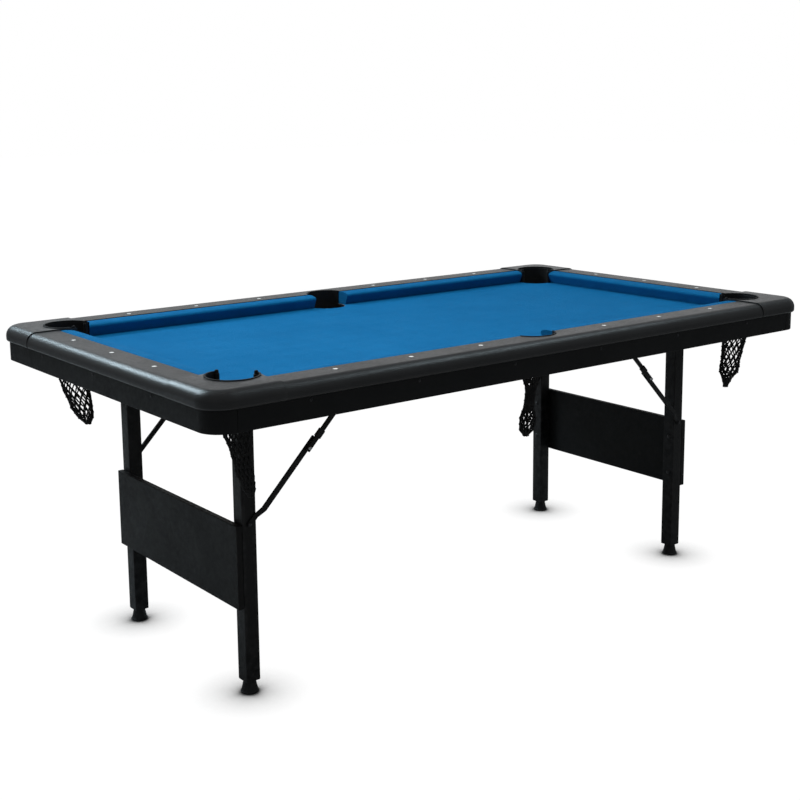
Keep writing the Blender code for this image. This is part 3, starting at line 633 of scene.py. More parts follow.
def add_prism(name, outline, rise):
    """A flat circle primitive with its corners moved to an outline, then extruded along rise."""
    deselect()
    bpy.ops.mesh.primitive_circle_add(vertices=len(outline), fill_type="NGON")
    piece = take(name)
    for vertex, point in zip(piece.data.vertices, outline):
        vertex.co = point
    work_on(piece)
    bpy.ops.mesh.select_all(action="SELECT")
    bpy.ops.mesh.extrude_region_move(TRANSFORM_OT_translate={"value": rise})
    leave_edit()
    face_outwards(piece)
    return piece


def add_turned(name, profile, sides):
    """A disc primitive at the first radius, extruded up and resized at each step of the profile."""
    deselect()
    height, radius = profile[0]
    bpy.ops.mesh.primitive_circle_add(
        vertices=sides, radius=radius, fill_type="NGON", location=(0.0, 0.0, height)
    )
    piece = take(name)
    work_on(piece)
    bpy.ops.mesh.select_mode(type="FACE")
    bpy.ops.mesh.select_all(action="SELECT")
    for new_height, new_radius in profile[1:]:
        bpy.ops.mesh.extrude_region_move(
            TRANSFORM_OT_translate={"value": (0.0, 0.0, new_height - height)}
        )
        share = new_radius / radius
        bpy.ops.transform.resize(value=(share, share, 1.0), center_override=(0.0, 0.0, 0.0))
        height, radius = new_height, new_radius
    leave_edit()
    face_outwards(piece)
    return piece


def apply_modifier(piece, kind, **settings):
    deselect()
    piece.select_set(True)
    bpy.context.view_layer.objects.active = piece
    modifier = piece.modifiers.new(kind.title(), kind)
    for key, value in settings.items():
        setattr(modifier, key, value)
    bpy.ops.object.modifier_apply(modifier=modifier.name)


def cut(piece, cutter):
    apply_modifier(piece, "BOOLEAN", object=cutter, operation="DIFFERENCE", solver="EXACT")
    bpy.data.objects.remove(cutter)


def ease_edges(piece, width, segments=2, over=35.0):
    """Rounds every edge sharper than an angle by a small width."""
    apply_modifier(
        piece, "BEVEL", width=width, segments=segments, limit_method="ANGLE",
        angle_limit=math.radians(over), use_clamp_overlap=True,
    )


def copy_of(piece, name, matrix):
    """A copy with its own mesh, moved, turned or mirrored by a matrix."""
    copy = bpy.data.objects.new(name, piece.data.copy())
    bpy.context.scene.collection.objects.link(copy)
    copy.data.name = name
    copy.data.transform(matrix)
    if matrix.determinant() < 0:
        copy.data.flip_normals()
    return copy


def mirrored(piece, name, x_side, y_side):
    return copy_of(piece, name, Matrix.Diagonal((x_side, y_side, 1.0, 1.0)))


def joined(pieces, name):
    """Joins pieces into the first one."""
    deselect()
    for piece in pieces:
        piece.select_set(True)
    bpy.context.view_layer.objects.active = pieces[0]
    bpy.ops.object.join()
    pieces[0].name = pieces[0].data.name = name
    return pieces[0]


MANY_FACES = 6000  # past this, as on a net, the shading is left as it is


def put_on(piece, body, material, slot, *nodes, smooth=35.0):
    """Gives a piece its finish and its body, and hides the CAD nodes it stands for.

    The slot is not used. Weighted normals keep its flat faces evenly shaded beside their rounded
    edges.
    """
    if material is not None:
        piece.data.materials.clear()
        piece.data.materials.append(material)
    deselect()
    piece.select_set(True)
    bpy.context.view_layer.objects.active = piece
    bpy.ops.object.shade_smooth_by_angle(angle=math.radians(smooth))
    if len(piece.data.polygons) < MANY_FACES:
        apply_modifier(piece, "WEIGHTED_NORMAL", keep_sharp=True)
    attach(piece, body)
    if nodes:
        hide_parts(*nodes)
    return piece


# %% [markdown]
# ## The table's own measures
#
# The CAD boxes give most places. A few sizes that a box can't give, such as a pocket's radius,
# are written here once, in metres.

# %% Read the measures
ENDS = (("left", -1), ("right", 1))
SIDES = (("front", -1), ("back", 1))
GAP = 0.0003

apron_low, apron_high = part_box("apron_right")
half_length, half_width = apron_high.x, apron_high.y
rail_low, rail_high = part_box("rail_right")
rail_edge_x = rail_low.x
rail_edge_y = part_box("rail_back")[0].y
rail_bottom, rail_top = rail_low.z, rail_high.z
joint_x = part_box("rail_back")[1].x + GAP
joint_y = rail_high.y + GAP
corner_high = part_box("corner_back_right")[1]
nose_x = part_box("cushion_right")[0].x
nose_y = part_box("cushion_back_right")[0].y
CORNER_POCKET_RADIUS = 0.056
SIDE_POCKET_RADIUS = 0.055
LINER_THICKNESS = 0.0035
liner_low, liner_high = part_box("side_pocket_liner_back")
side_pocket_y = liner_high.y - LINER_THICKNESS - SIDE_POCKET_RADIUS
cloth_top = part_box("bed_cloth")[1].z
board_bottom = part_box("bed_board")[0].z
print("rails end at", round(joint_x, 4), round(joint_y, 4), "side pocket", round(side_pocket_y, 4))
print("noses at", round(nose_x, 4), round(nose_y, 4), "cloth", round(cloth_top, 4))

# %% [markdown]
# ## Rails
#
# Each rail is a wrapped board with a flat top and a rounded outer edge, a bullnose. A cube at
# the rail's size is enough to start from: its outer top edge is bevelled into a quarter circle
# and its lower edge into a small curve. A Boolean with a cylinder takes out the half round
# notch for the side pocket. The other rail of each pair is the same one mirrored.

# %% Model the rails
BULLNOSE = 0.026
LOWER_CURVE = 0.006
EASED = 0.0012
NOTCH_RADIUS = SIDE_POCKET_RADIUS + LINER_THICKNESS + GAP


def round_outside(is_outer, top):
    """In edit mode, a bullnose above and a small curve below, on the outer side."""
    pick("EDGE", lambda m, d: is_outer(m) and m.z > top - TINY and abs(d.z) < 0.1)
    round_edges(BULLNOSE, 14)
    pick("EDGE", lambda m, d: is_outer(m) and m.z < rail_bottom + TINY and abs(d.z) < 0.1)
    round_edges(LOWER_CURVE, 5)


def round_rail(piece, is_outer):
    work_on(piece)
    round_outside(is_outer, rail_top)
    leave_edit()


long_rail = add_block("back_rail", *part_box("rail_back"))
outer_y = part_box("rail_back")[1].y
round_rail(long_rail, lambda m: m.y > outer_y - TINY)
deselect()
bpy.ops.mesh.primitive_cylinder_add(
    vertices=128, radius=NOTCH_RADIUS, depth=0.1, location=(0.0, side_pocket_y, rail_top)
)
cut(long_rail, take("notch"))
ease_edges(long_rail, EASED)
laminate = ("table", rail_black, "rail_laminate")
put_on(mirrored(long_rail, "front_rail", 1, -1), *laminate, "rail_front")
put_on(long_rail, *laminate, "rail_back")

short_rail = add_block("right_rail", rail_low, rail_high)
round_rail(short_rail, lambda m: m.x > rail_high.x - TINY)
ease_edges(short_rail, EASED)
put_on(mirrored(short_rail, "left_rail", -1, 1), *laminate, "rail_left")
put_on(short_rail, *laminate, "rail_right")
print("rail faces:", len(long_rail.data.polygons), len(short_rail.data.polygons))

# %% [markdown]
# ## Moulded corners
#
# A corner is one moulding that joins two rails round an open pocket mouth, with a jaw each side
# that covers the end of a cushion. It starts as its own outline: a flat circle with its points
# moved, extruded up. The outer top edge then gets the rails' bullnose, and the pocket's edge a
# soft lip. The lip and the pocket's wall get a blacker finish, which is partly the lip's own
# black rubber and partly painted shade where they curve down into the hole. A low black bead
# runs round the lip, and small stepped nubs close the tips of the jaws.

# %% Model one corner
CORNER_RADIUS = 0.062
JAW_REACH = 0.062
THROAT = 15.0  # degrees past the pocket's middle where a jaw meets its wall
WALL = (THROAT - 90.0, 180.0 - THROAT)
LIP_ROUND = 0.0044


def arc_points(centre, radius, start, end, steps, z):
    """Points on an arc seen from above, between two angles in degrees."""
    points = []
    for i in range(steps + 1):
        angle = math.radians(start + (end - start) * i / steps)
        points.append(
            (centre[0] + radius * math.cos(angle), centre[1] + radius * math.sin(angle), z)
        )
    return points


round_centre = (corner_high.x - CORNER_RADIUS, corner_high.y - CORNER_RADIUS)


def on_corner_edge(m):
    """True on the corner's outer, rounded side."""
    x, y = m.x - round_centre[0], m.y - round_centre[1]
    if x > 0 and y > 0:
        return math.hypot(x, y) > CORNER_RADIUS - 0.001
    return m.x > corner_high.x - TINY or m.y > corner_high.y - TINY


def on_pocket_edge(m):
    away = math.hypot(m.x - nose_x, m.y - nose_y)
    return abs(away - CORNER_POCKET_RADIUS) < 0.0005


def corner_outline(z):
    outline = [(joint_x, corner_high.y, z)]
    outline += arc_points(round_centre, CORNER_RADIUS, 90.0, 0.0, 28, z)
    outline += [(corner_high.x, joint_y, z), (rail_edge_x, joint_y, z)]
    outline += [(nose_x, nose_y - JAW_REACH, z)]
    outline += arc_points((nose_x, nose_y), CORNER_POCKET_RADIUS, *WALL, 56, z)
    outline += [(nose_x - JAW_REACH, nose_y, z), (joint_x, rail_edge_y, z)]
    return outline


def paint(piece, is_lip):
    """Gives a piece the corner's two finishes, with the lip's where is_lip(face) is true."""
    if not piece.data.materials:
        piece.data.materials.append(corner_black)
        piece.data.materials.append(lip_black_and_shade)
    for face in piece.data.polygons:
        face.material_index = int(is_lip(face))


corner = add_prism(
    "back_right_corner", corner_outline(rail_bottom), (0.0, 0.0, corner_high.z - rail_bottom)
)
work_on(corner)
round_outside(on_corner_edge, corner_high.z)
pick("EDGE", lambda m, d: on_pocket_edge(m) and m.z > corner_high.z - TINY and abs(d.z) < 0.1)
round_edges(LIP_ROUND, 6)
leave_edit()
ease_edges(corner, EASED, over=40.0)
print("corner faces:", len(corner.data.polygons))

# %% Colour the pocket's wall and lip
LIP = 0.0047
LEVEL = 0.9995  # a face whose normal rises more than this is flat


# The lip and pocket wall faces. Their blacker finish is partly painted shade where they curve down
# into the hole.
def on_lip(face):
    away = math.hypot(face.center.x - nose_x, face.center.y - nose_y)
    inside = away < CORNER_POCKET_RADIUS + LIP and face.center.z > rail_bottom + TINY
    return inside and face.normal.z < LEVEL


paint(corner, on_lip)
print("lip faces:", sum(face.material_index for face in corner.data.polygons))

# %% Add the pocket's bead and the jaw nubs, and copy the corner
BEAD_WIDTH, BEAD_RISE, BEAD_SUNK = 0.0042, 0.0020, 0.0060
BEAD_SETBACK = 0.0004
BEAD_STOP = 0.0060  # how far short of a jaw's tip the band ends
BEAD_TIP = (0.0030, 0.0076)  # the band's two sides at a jaw's tip, out from the nose line
NUB_RADIUS = 0.0062
NUB_RISE = 0.0050
bead_z = corner_high.z - BEAD_SUNK


def bead_outline(z):
    """A band round the pocket, from one jaw's tip to the other."""
    centre = (nose_x, nose_y)
    inner = CORNER_POCKET_RADIUS + BEAD_SETBACK
    back = JAW_REACH - BEAD_STOP
    near, far = BEAD_TIP
    outline = arc_points(centre, inner, *WALL, 56, z)
    outline += [(nose_x - back, nose_y + near, z), (nose_x - back, nose_y + far, z)]
    outline += arc_points(centre, inner + BEAD_WIDTH, 160.0, -70.0, 56, z)
    outline += [(nose_x + far, nose_y - back, z), (nose_x + near, nose_y - back, z)]
    return outline


bead = add_prism("bead", bead_outline(bead_z), (0.0, 0.0, corner_high.z + BEAD_RISE - bead_z))
ease_edges(bead, 0.0010, 3, over=50.0)
paint(bead, lambda face: True)

nub_top = corner_high.z + NUB_RISE
nub = add_turned(
    "jaw_nub",
    (
        (rail_bottom, NUB_RADIUS - 0.0010), (rail_bottom + 0.0010, NUB_RADIUS),
        (nub_top - 0.0090, NUB_RADIUS), (nub_top - 0.0082, NUB_RADIUS - 0.0006),
        (nub_top - 0.0080, NUB_RADIUS - 0.0014), (nub_top - 0.0024, NUB_RADIUS - 0.0018),
        (nub_top - 0.0006, NUB_RADIUS - 0.0032), (nub_top, 0.0006),
    ),
    28,
)
paint(nub, lambda face: True)
tip = JAW_REACH - NUB_RADIUS - 0.0008
nubs = [
    copy_of(nub, "nub_x", Matrix.Translation((nose_x + NUB_RADIUS, nose_y - tip, 0.0))),
    copy_of(nub, "nub_y", Matrix.Translation((nose_x - tip, nose_y + NUB_RADIUS, 0.0))),
]
bpy.data.objects.remove(nub)
corner = joined([corner, bead, *nubs], "back_right_corner")
for side_name, side in SIDES:
    for end_name, end in ENDS:
        name = f"{side_name}_{end_name}_corner"
        piece = corner if (side, end) == (1, 1) else mirrored(corner, name, end, side)
        put_on(piece, "table", None, "corner_plastic", f"corner_{side_name}_{end_name}")
print("corners made:", len(SIDES) * len(ENDS))

# %% [markdown]
# ## Cushions
#
# A cushion is a rubber strip covered in the bed's cloth. Its cross-section leans out from the
# bed to a rounded nose, and its top is slightly crowned and dives into a groove along the rail,
# where the cloth is tucked in. The section is extruded along the rail and subdivided, its ends
# are slanted to meet the jaws, and a low noise makes it look stuffed and not machined.

# %% Model the cushions
cushion_width = rail_edge_x - GAP - nose_x
NOSE_HEIGHT = 0.7785
SOFTNESS = 0.0005
SECTION = (
    (0.0000, rail_bottom + 0.0002), (cushion_width - 0.0120, rail_bottom + 0.0002),
    (cushion_width - 0.0060, rail_bottom + 0.0130), (cushion_width - 0.0012, NOSE_HEIGHT - 0.0052),
    (cushion_width - 0.0002, NOSE_HEIGHT - 0.0030), (cushion_width, NOSE_HEIGHT - 0.0010),
    (cushion_width - 0.0005, NOSE_HEIGHT + 0.0012), (cushion_width - 0.0020, NOSE_HEIGHT + 0.0028),
    (cushion_width - 0.0045, NOSE_HEIGHT + 0.0042), (cushion_width - 0.0100, NOSE_HEIGHT + 0.0059),
    (cushion_width - 0.0180, NOSE_HEIGHT + 0.0072), (cushion_width * 0.38, rail_top - 0.0007),
    (0.0070, rail_top - 0.0008), (0.0035, rail_top - 0.0013), (0.0020, rail_top - 0.0026),
    (0.0012, rail_top - 0.0050), (0.0000, rail_top - 0.0056),
)


def add_cushion(name, starts, ends, place):
    """A section extruded one metre, cut into short lengths, then laid between slanted ends."""
    cushion = add_prism(name, [(0.0, u, z) for u, z in SECTION], (1.0, 0.0, 0.0))
    work_on(cushion)
    pick("EDGE", lambda m, d: abs(d.x) > 0.9)
    bpy.ops.mesh.subdivide(number_cuts=36)
    leave_edit()
    for vertex in cushion.data.vertices:
        share, u, z = vertex.co
        start = starts[0] + (starts[1] - starts[0]) * u / cushion_width
        end = ends[0] + (ends[1] - ends[0]) * u / cushion_width
        along = start + (end - start) * share
        swell = SOFTNESS * noise.noise(Vector((along * 14.0, u * 40.0, z * 40.0)))
        if z > rail_bottom + 0.001 and u > 0.006:
            z += swell
            u = min(u + swell, cushion_width)
        vertex.co = place(along, u, z)
    face_outwards(cushion)
    return cushion


JAW_CLEARANCE = 0.0010
SIDE_SLANT = 0.0020  # how much further from a side pocket a cushion's nose starts than its back
slant = JAW_REACH - (nose_x - joint_x)
side_end = SIDE_POCKET_RADIUS + GAP
reach_x, reach_y = joint_x - JAW_CLEARANCE, joint_y - JAW_CLEARANCE
long_cushion = add_cushion(
    "back_right_cushion", (side_end, side_end + SIDE_SLANT), (reach_x, reach_x - slant),
    lambda along, u, z: (along, rail_edge_y - GAP - u, z),
)
stuffed = ("table", cushion_cloth_blue, "cushion_cloth")
for side_name, side in SIDES:
    for end_name, end in ENDS:
        name = f"{side_name}_{end_name}_cushion"
        piece = long_cushion if (side, end) == (1, 1) else mirrored(long_cushion, name, end, side)
        put_on(piece, *stuffed, f"cushion_{side_name}_{end_name}", smooth=50.0)

short_cushion = add_cushion(
    "right_cushion", (-reach_y, -reach_y + slant), (reach_y, reach_y - slant),
    lambda along, u, z: (rail_edge_x - GAP - u, along, z),
)
left_cushion = mirrored(short_cushion, "left_cushion", -1, 1)
put_on(short_cushion, *stuffed, "cushion_right", smooth=50.0)
put_on(left_cushion, *stuffed, "cushion_left", smooth=50.0)
print("cushion width:", round(cushion_width, 4))

# %% [markdown]
# ## Bed cloth
#
# The bed's cloth is one stretched sheet under the cushions. At each pocket it rolls over the
# board's edge and goes down into the hole. It starts as a flat outline. The edges at each pocket
# are extruded in a few steps, drawn in and down, and a Solidify modifier gives the thickness.

# %% Model the bed cloth
# How much each step of the roll into a pocket narrows it, and how far it goes down.
ROLL = ((0.9835, 0.0004), (0.9850, 0.0014), (0.9925, 0.0030), (0.9985, 0.0100))
ROLL_START = 0.0030
CLOTH_THICKNESS = 0.0012
cloth_edge_x, cloth_edge_y = rail_edge_x - GAP, rail_edge_y - GAP
POCKETS = (
    (nose_x, nose_y, CORNER_POCKET_RADIUS), (-nose_x, nose_y, CORNER_POCKET_RADIUS),
    (-nose_x, -nose_y, CORNER_POCKET_RADIUS), (nose_x, -nose_y, CORNER_POCKET_RADIUS),
    (0.0, side_pocket_y, SIDE_POCKET_RADIUS), (0.0, -side_pocket_y, SIDE_POCKET_RADIUS),
)


def cloth_outline():
    """The bed's outline with a bite at each pocket, anticlockwise from the +X end."""
    z = cloth_top
    bite = CORNER_POCKET_RADIUS + ROLL_START
    first = -math.degrees(math.acos((cloth_edge_x - nose_x) / bite))
    last = -180.0 - math.degrees(math.asin((cloth_edge_y - nose_y) / bite))
    corner_bite = arc_points((nose_x, nose_y), bite, first, last, 32, z)
    bite = SIDE_POCKET_RADIUS + ROLL_START
    lift = math.degrees(math.asin((cloth_edge_y - side_pocket_y) / bite))
    side_bite = arc_points((0.0, side_pocket_y), bite, lift, -180.0 - lift, 40, z)
    half = corner_bite + side_bite + [(-x, y, z) for x, y, z in reversed(corner_bite)]
    return half + [(-x, -y, z) for x, y, z in half]


deselect()
outline = cloth_outline()
bpy.ops.mesh.primitive_circle_add(vertices=len(outline), fill_type="NGON")
bed_cloth = take("blue_bed_cloth")
for vertex, point in zip(bed_cloth.data.vertices, outline):
    vertex.co = point
work_on(bed_cloth)
for x, y, radius in POCKETS:
    start = radius + ROLL_START

    def at_mouth(m, d, x=x, y=y, start=start):
        return abs(math.hypot(m.x - x, m.y - y) - start) < 0.0006

    pick("EDGE", at_mouth)
    for share, drop in ROLL:
        bpy.ops.mesh.extrude_edges_move(TRANSFORM_OT_translate={"value": (0.0, 0.0, -drop)})
        bpy.ops.transform.resize(value=(share, share, 1.0), center_override=(x, y, 0.0))
    bpy.ops.mesh.select_all(action="DESELECT")
bpy.ops.mesh.select_all(action="SELECT")
bpy.ops.mesh.normals_make_consistent(inside=False)
leave_edit()
if bed_cloth.data.polygons[0].normal.z < 0:
    bed_cloth.data.flip_normals()
apply_modifier(bed_cloth, "SOLIDIFY", thickness=CLOTH_THICKNESS, offset=-1.0)
put_on(bed_cloth, "table", bed_cloth_blue, "bed_cloth", "bed_cloth")

# %% [markdown]
# ## Side pocket liners
#
# Each side pocket has a thin black liner in the rail's notch, a little proud of the rail. It is
# drawn as an arch, extruded, and its edges are eased so the rim catches a thin line of light.

# %% Model the liners
inner_turn = math.degrees(math.asin((rail_edge_y - side_pocket_y) / SIDE_POCKET_RADIUS))
outer_radius = SIDE_POCKET_RADIUS + LINER_THICKNESS
outer_turn = math.degrees(math.asin((rail_edge_y - side_pocket_y) / outer_radius))
side_centre = (0.0, side_pocket_y)
side_wall = (inner_turn, 180.0 - inner_turn)
outline = arc_points(side_centre, SIDE_POCKET_RADIUS, *side_wall, 64, liner_low.z)
outline += arc_points(side_centre, outer_radius, 180.0 - outer_turn, outer_turn, 64, liner_low.z)
liner = add_prism("back_pocket_liner", outline, (0.0, 0.0, liner_high.z - liner_low.z))
ease_edges(liner, 0.0010, 3)
pocket_black = ("table", lip_black_and_shade, "corner_plastic")
put_on(mirrored(liner, "front_pocket_liner", 1, -1), *pocket_black, "side_pocket_liner_front")
put_on(liner, *pocket_black, "side_pocket_liner_back")
print("liner faces:", len(liner.data.polygons))

# %% Model the throats
THROAT_INSIDE, THROAT_OUTSIDE = 0.0004, 0.0012  # the collar's faces, either side of the hole's wall


def add_throat(name, centre, radius, start, end):
    """A black collar that hides the board's raw edge in a pocket, where no cloth covers it."""
    z = board_bottom + 0.0010
    outline = arc_points(centre, radius - THROAT_INSIDE, start, end, 48, z)
    outline += arc_points(centre, radius + THROAT_OUTSIDE, end, start, 48, z)
    return add_prism(name, outline, (0.0, 0.0, rail_bottom + 0.0006 - z))


corner_throat = add_throat("back_right_throat", (nose_x, nose_y), CORNER_POCKET_RADIUS, *WALL)
side_throat = add_throat("back_middle_throat", side_centre, SIDE_POCKET_RADIUS, *side_wall)
throats = [corner_throat, side_throat]
for side_name, side in SIDES:
    for end_name, end in ENDS:
        if (side, end) != (1, 1):
            throats.append(mirrored(corner_throat, f"{side_name}_{end_name}_throat", end, side))
throats.append(mirrored(side_throat, "front_middle_throat", 1, -1))
for throat in throats:
    put_on(throat, *pocket_black)
print("throats:", len(throats))

# %% [markdown]
# ## Aprons
#
# The aprons are laminated boards round the bed's edge. A long one is a plain board with eased
# edges. An end apron wraps round two corners: a cube at the whole table's size has two upright
# edges bevelled, its top, bottom and far sides are taken away, and Solidify turns the skin that
# is left into a board.

# %% Model the aprons
APRON_THICKNESS = 0.015
APRON_ROUND = 0.054
seam_x = apron_low.x
for side_name, _ in SIDES:
    node = f"apron_{side_name}"
    board = add_block(f"{side_name}_apron", *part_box(node))
    ease_edges(board, EASED, 3)
    put_on(board, "table", apron_black, "apron_laminate", node)

wrap = add_block(
    "right_apron", (-half_length, -half_width, apron_low.z), (half_length, half_width, apron_high.z)
)
work_on(wrap)
pick("EDGE", lambda m, d: abs(d.z) > 0.9 and m.x > 0)
round_edges(APRON_ROUND, 24)
pick("FACE", lambda m, n: abs(n.z) > 0.9 or n.x < -0.9)
bpy.ops.mesh.delete(type="FACE")
bpy.ops.mesh.select_all(action="SELECT")
bpy.ops.mesh.bisect(plane_co=(seam_x, 0.0, 0.0), plane_no=(1.0, 0.0, 0.0), clear_inner=True)
leave_edit()
apply_modifier(wrap, "SOLIDIFY", thickness=APRON_THICKNESS, offset=-1.0, use_even_offset=True)
ease_edges(wrap, EASED, 3)
left_wrap = mirrored(wrap, "left_apron", -1, 1)
put_on(left_wrap, "table", apron_black, "apron_laminate", "apron_left")
put_on(wrap, "table", apron_black, "apron_laminate", "apron_right")
print("apron seam at", round(seam_x, 4))

# %% [markdown]
# ## Sights and screws
#
# Small pearl discs on the rails help to aim, and dark screws hold the aprons. Each is modelled
# once as a turned shape and then copied. The screw's cross is cut with two crossed blocks.

# %% Place the sights
SIGHT_RADIUS = 0.0056
SIGHT_STEP = 0.2097
SIGHT_LINE_X, SIGHT_LINE_Y = 0.9168, 0.4906
sight = add_turned(
    "sight",
    (
        (-0.0010, SIGHT_RADIUS), (0.0001, SIGHT_RADIUS), (0.0003, SIGHT_RADIUS - 0.0003),
        (0.00042, SIGHT_RADIUS - 0.0012), (0.0005, 0.0016),
    ),
    32,
)
sight_places = []
for k in (-3, -2, -1, 1, 2, 3):
    sight_places += [(k * SIGHT_STEP, side * SIGHT_LINE_Y) for side in (-1, 1)]
for k in (-1, 0, 1):
    sight_places += [(end * SIGHT_LINE_X, k * SIGHT_STEP) for end in (-1, 1)]
for number, (x, y) in enumerate(sight_places, 1):
    copy = copy_of(sight, f"sight_{number:02d}", Matrix.Translation((x, y, rail_top)))
    put_on(copy, "table", sight_pearl, "sight")
bpy.data.objects.remove(sight)
print("sights:", len(sight_places))

# %% Model one screw
def add_screw(name, radius, height):
    """A screw with a low domed head along +Z, its back at Z 0, and a cross cut in it."""
    screw = add_turned(
        name,
        (
            (-0.0010, radius), (0.25 * height, radius), (0.70 * height, 0.86 * radius),
            (0.92 * height, 0.58 * radius), (height, 0.20 * radius),
        ),
        28,
    )
    for half_x, half_y in ((0.55 * radius, 0.12 * radius), (0.12 * radius, 0.55 * radius)):
        slot = add_block("slot", (-half_x, -half_y, 0.35 * height), (half_x, half_y, 2 * height))
        cut(screw, slot)
    return screw


# %% Place the apron screws
SCREW_HEIGHT = 0.742
LONG_SCREW_X = (-0.7278, -0.4367, -0.1456, 0.1456, 0.4367, 0.7278)
END_SCREW_Y = (-0.2865, 0.0, 0.2865)
SCREW_SPIN = 37.0  # degrees from one screw's cross to the next
apron_screw = add_screw("apron_screw", 0.0036, 0.0014)
screw_places = []
for side in (-1, 1):
    for x in LONG_SCREW_X:
        screw_places.append((x, side * half_width, Vector((0, side, 0))))
    for y in END_SCREW_Y:
        screw_places.append((side * half_length, y, Vector((side, 0, 0))))


def turn_to(direction, spin=0.0):
    """A matrix that turns +Z to a direction, after a spin about Z in degrees."""
    spin_matrix = Matrix.Rotation(math.radians(spin), 4, "Z")
    return Vector(direction).to_track_quat("Z", "Y").to_matrix().to_4x4() @ spin_matrix


for number, (x, y, outward) in enumerate(screw_places, 1):
    place = Matrix.Translation((x, y, SCREW_HEIGHT)) @ turn_to(outward, SCREW_SPIN * number)
    copy = copy_of(apron_screw, f"apron_screw_{number:02d}", place)
    put_on(copy, "table", screw_dark, "screw_steel")
bpy.data.objects.remove(apron_screw)
print("apron screws:", len(screw_places))

# %% [markdown]
# ## Steel and board pieces from the CAD
#
# Legs, brackets, links and panels already have their true shape in the CAD model. A rendered
# edge needs a small radius to catch the light, so each is copied, its loose triangles are
# merged, its flat faces are made whole again, and its edges are bevelled.

# %% Dress the CAD pieces
def dressed(node, name, width, material, slot, body, segments=2, over=30.0):
    piece = bpy.data.objects.new(name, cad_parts[node].data.copy())
    bpy.context.scene.collection.objects.link(piece)
    piece.data.name = name
    work_on(piece)
    bpy.ops.mesh.customdata_custom_splitnormals_clear()
    bpy.ops.mesh.select_all(action="SELECT")
    bpy.ops.mesh.remove_doubles(threshold=MERGE)
    bpy.ops.mesh.dissolve_limited(angle_limit=math.radians(0.5))
    leave_edit()
    ease_edges(piece, width, segments, over)
    return put_on(piece, body, material, slot, node)


for end_name, _ in ENDS:
    frame_body = f"leg_frame_{end_name}"
    dressed(
        f"panel_{end_name}", f"{end_name}_panel", 0.0009, panel_black, "panel_board", frame_body
    )
    dressed(
        f"cross_tube_{end_name}", f"{end_name}_cross_tube", 0.0008, steel_black,
        "painted_steel", frame_body, over=50.0,
    )
    for side_name, _ in SIDES:
        where = f"{side_name}_{end_name}"
        steel = (steel_black, "painted_steel")
        dressed(f"leg_{where}", f"{where}_leg", 0.0005, *steel, frame_body, over=50.0)
        for kind in ("leg_bracket", "brace_bracket"):
            dressed(f"{kind}_{where}", f"{where}_{kind}", 0.0006, *steel, "table")
        for kind, width in (("lower_link", 0.0009), ("upper_link", 0.0009), ("lock_ring", 0.0006)):
            node = f"{kind}_{where}"
            dressed(node, f"{where}_{kind}", width, *steel, node)
bed = dressed("bed_board", "bed_board_chipboard", 0.0004, board_brown, "bed_board", "table", 1)
bed.data.materials.append(lip_black_and_shade)
for face in bed.data.polygons:
    away = min(math.hypot(face.center.x - x, face.center.y - y) - r for x, y, r in POCKETS)
    face.material_index = int(away < 0.001)
print("board faces painted black in the holes:", sum(f.material_index for f in bed.data.polygons))

# %% [markdown]
# ## Levelling feet
#
# Each leg stands on a plastic foot that screws in and out. It is a turned shape: a pad with a
# small bead, a cone and a ribbed neck for the fingers, and a threaded stem that goes up inside
# the leg.

# %% Model the feet
foot_low, foot_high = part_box("foot_back_right")
foot_place = (foot_low + foot_high) / 2
# Heights and radii, from the pad up through the cone, the neck and the stem.
FOOT_PROFILE = (
    (0.0000, 0.0196), (0.0008, 0.0208), (0.0020, 0.0213), (0.0050, 0.0213), (0.0060, 0.0208),
    (0.0066, 0.0200), (0.0072, 0.0197), (0.0110, 0.0187), (0.0170, 0.0172), (0.0226, 0.0162),
    (0.0232, 0.0162), (0.0240, 0.0155), (0.0300, 0.0151), (0.0306, 0.0146), (0.0307, 0.0061),
    (0.0330, 0.0060), (foot_high.z - 0.0010, 0.0060), (foot_high.z, 0.0050),
)
foot = add_turned("back_right_foot", FOOT_PROFILE, 48)
for side_name, side in SIDES:
    for end_name, end in ENDS:
        where = f"{side_name}_{end_name}"
        place = Matrix.Translation((end * foot_place.x, side * foot_place.y, 0.0))
        copy = copy_of(foot, f"{where}_levelling_foot", place)
        put_on(copy, f"foot_{where}", foot_black, "foot_plastic", f"foot_{where}", smooth=30.0)
bpy.data.objects.remove(foot)
print("feet stand on Z", round(foot_low.z, 4))

# %% [markdown]
# ## Rivets and bolts
#
# A rivet joins each pair of links at the knee, and others carry the links on the leg and on the
# bracket. Coach bolts hold the panels to the legs, and wood screws hold the brackets to the bed.

# %% Place the rivets
BRACE_PIN_X, BRACE_PIN_Z = 0.740, 0.411
KNEE = (0.5867, 0.5678)
TOP_PIN = (0.436, 0.722)
KNEE_INNER_Y = 0.3080
LEG_RIVET_Y = 0.3016
PLATE_OUTER_Y = 0.3271
SHANK_LENGTH = 0.0152
rivet_head = add_turned(
    "rivet_head",
    ((-0.0008, 0.0046), (0.0006, 0.0046), (0.0014, 0.0041), (0.0021, 0.0029), (0.0024, 0.0012)),
    28,
)


def place_rivet(name, x, y, z, outward, body, material):
    place = Matrix.Translation((x, y, z)) @ turn_to((0.0, outward, 0.0))
    put_on(copy_of(rivet_head, name, place), body, material, "screw_steel")


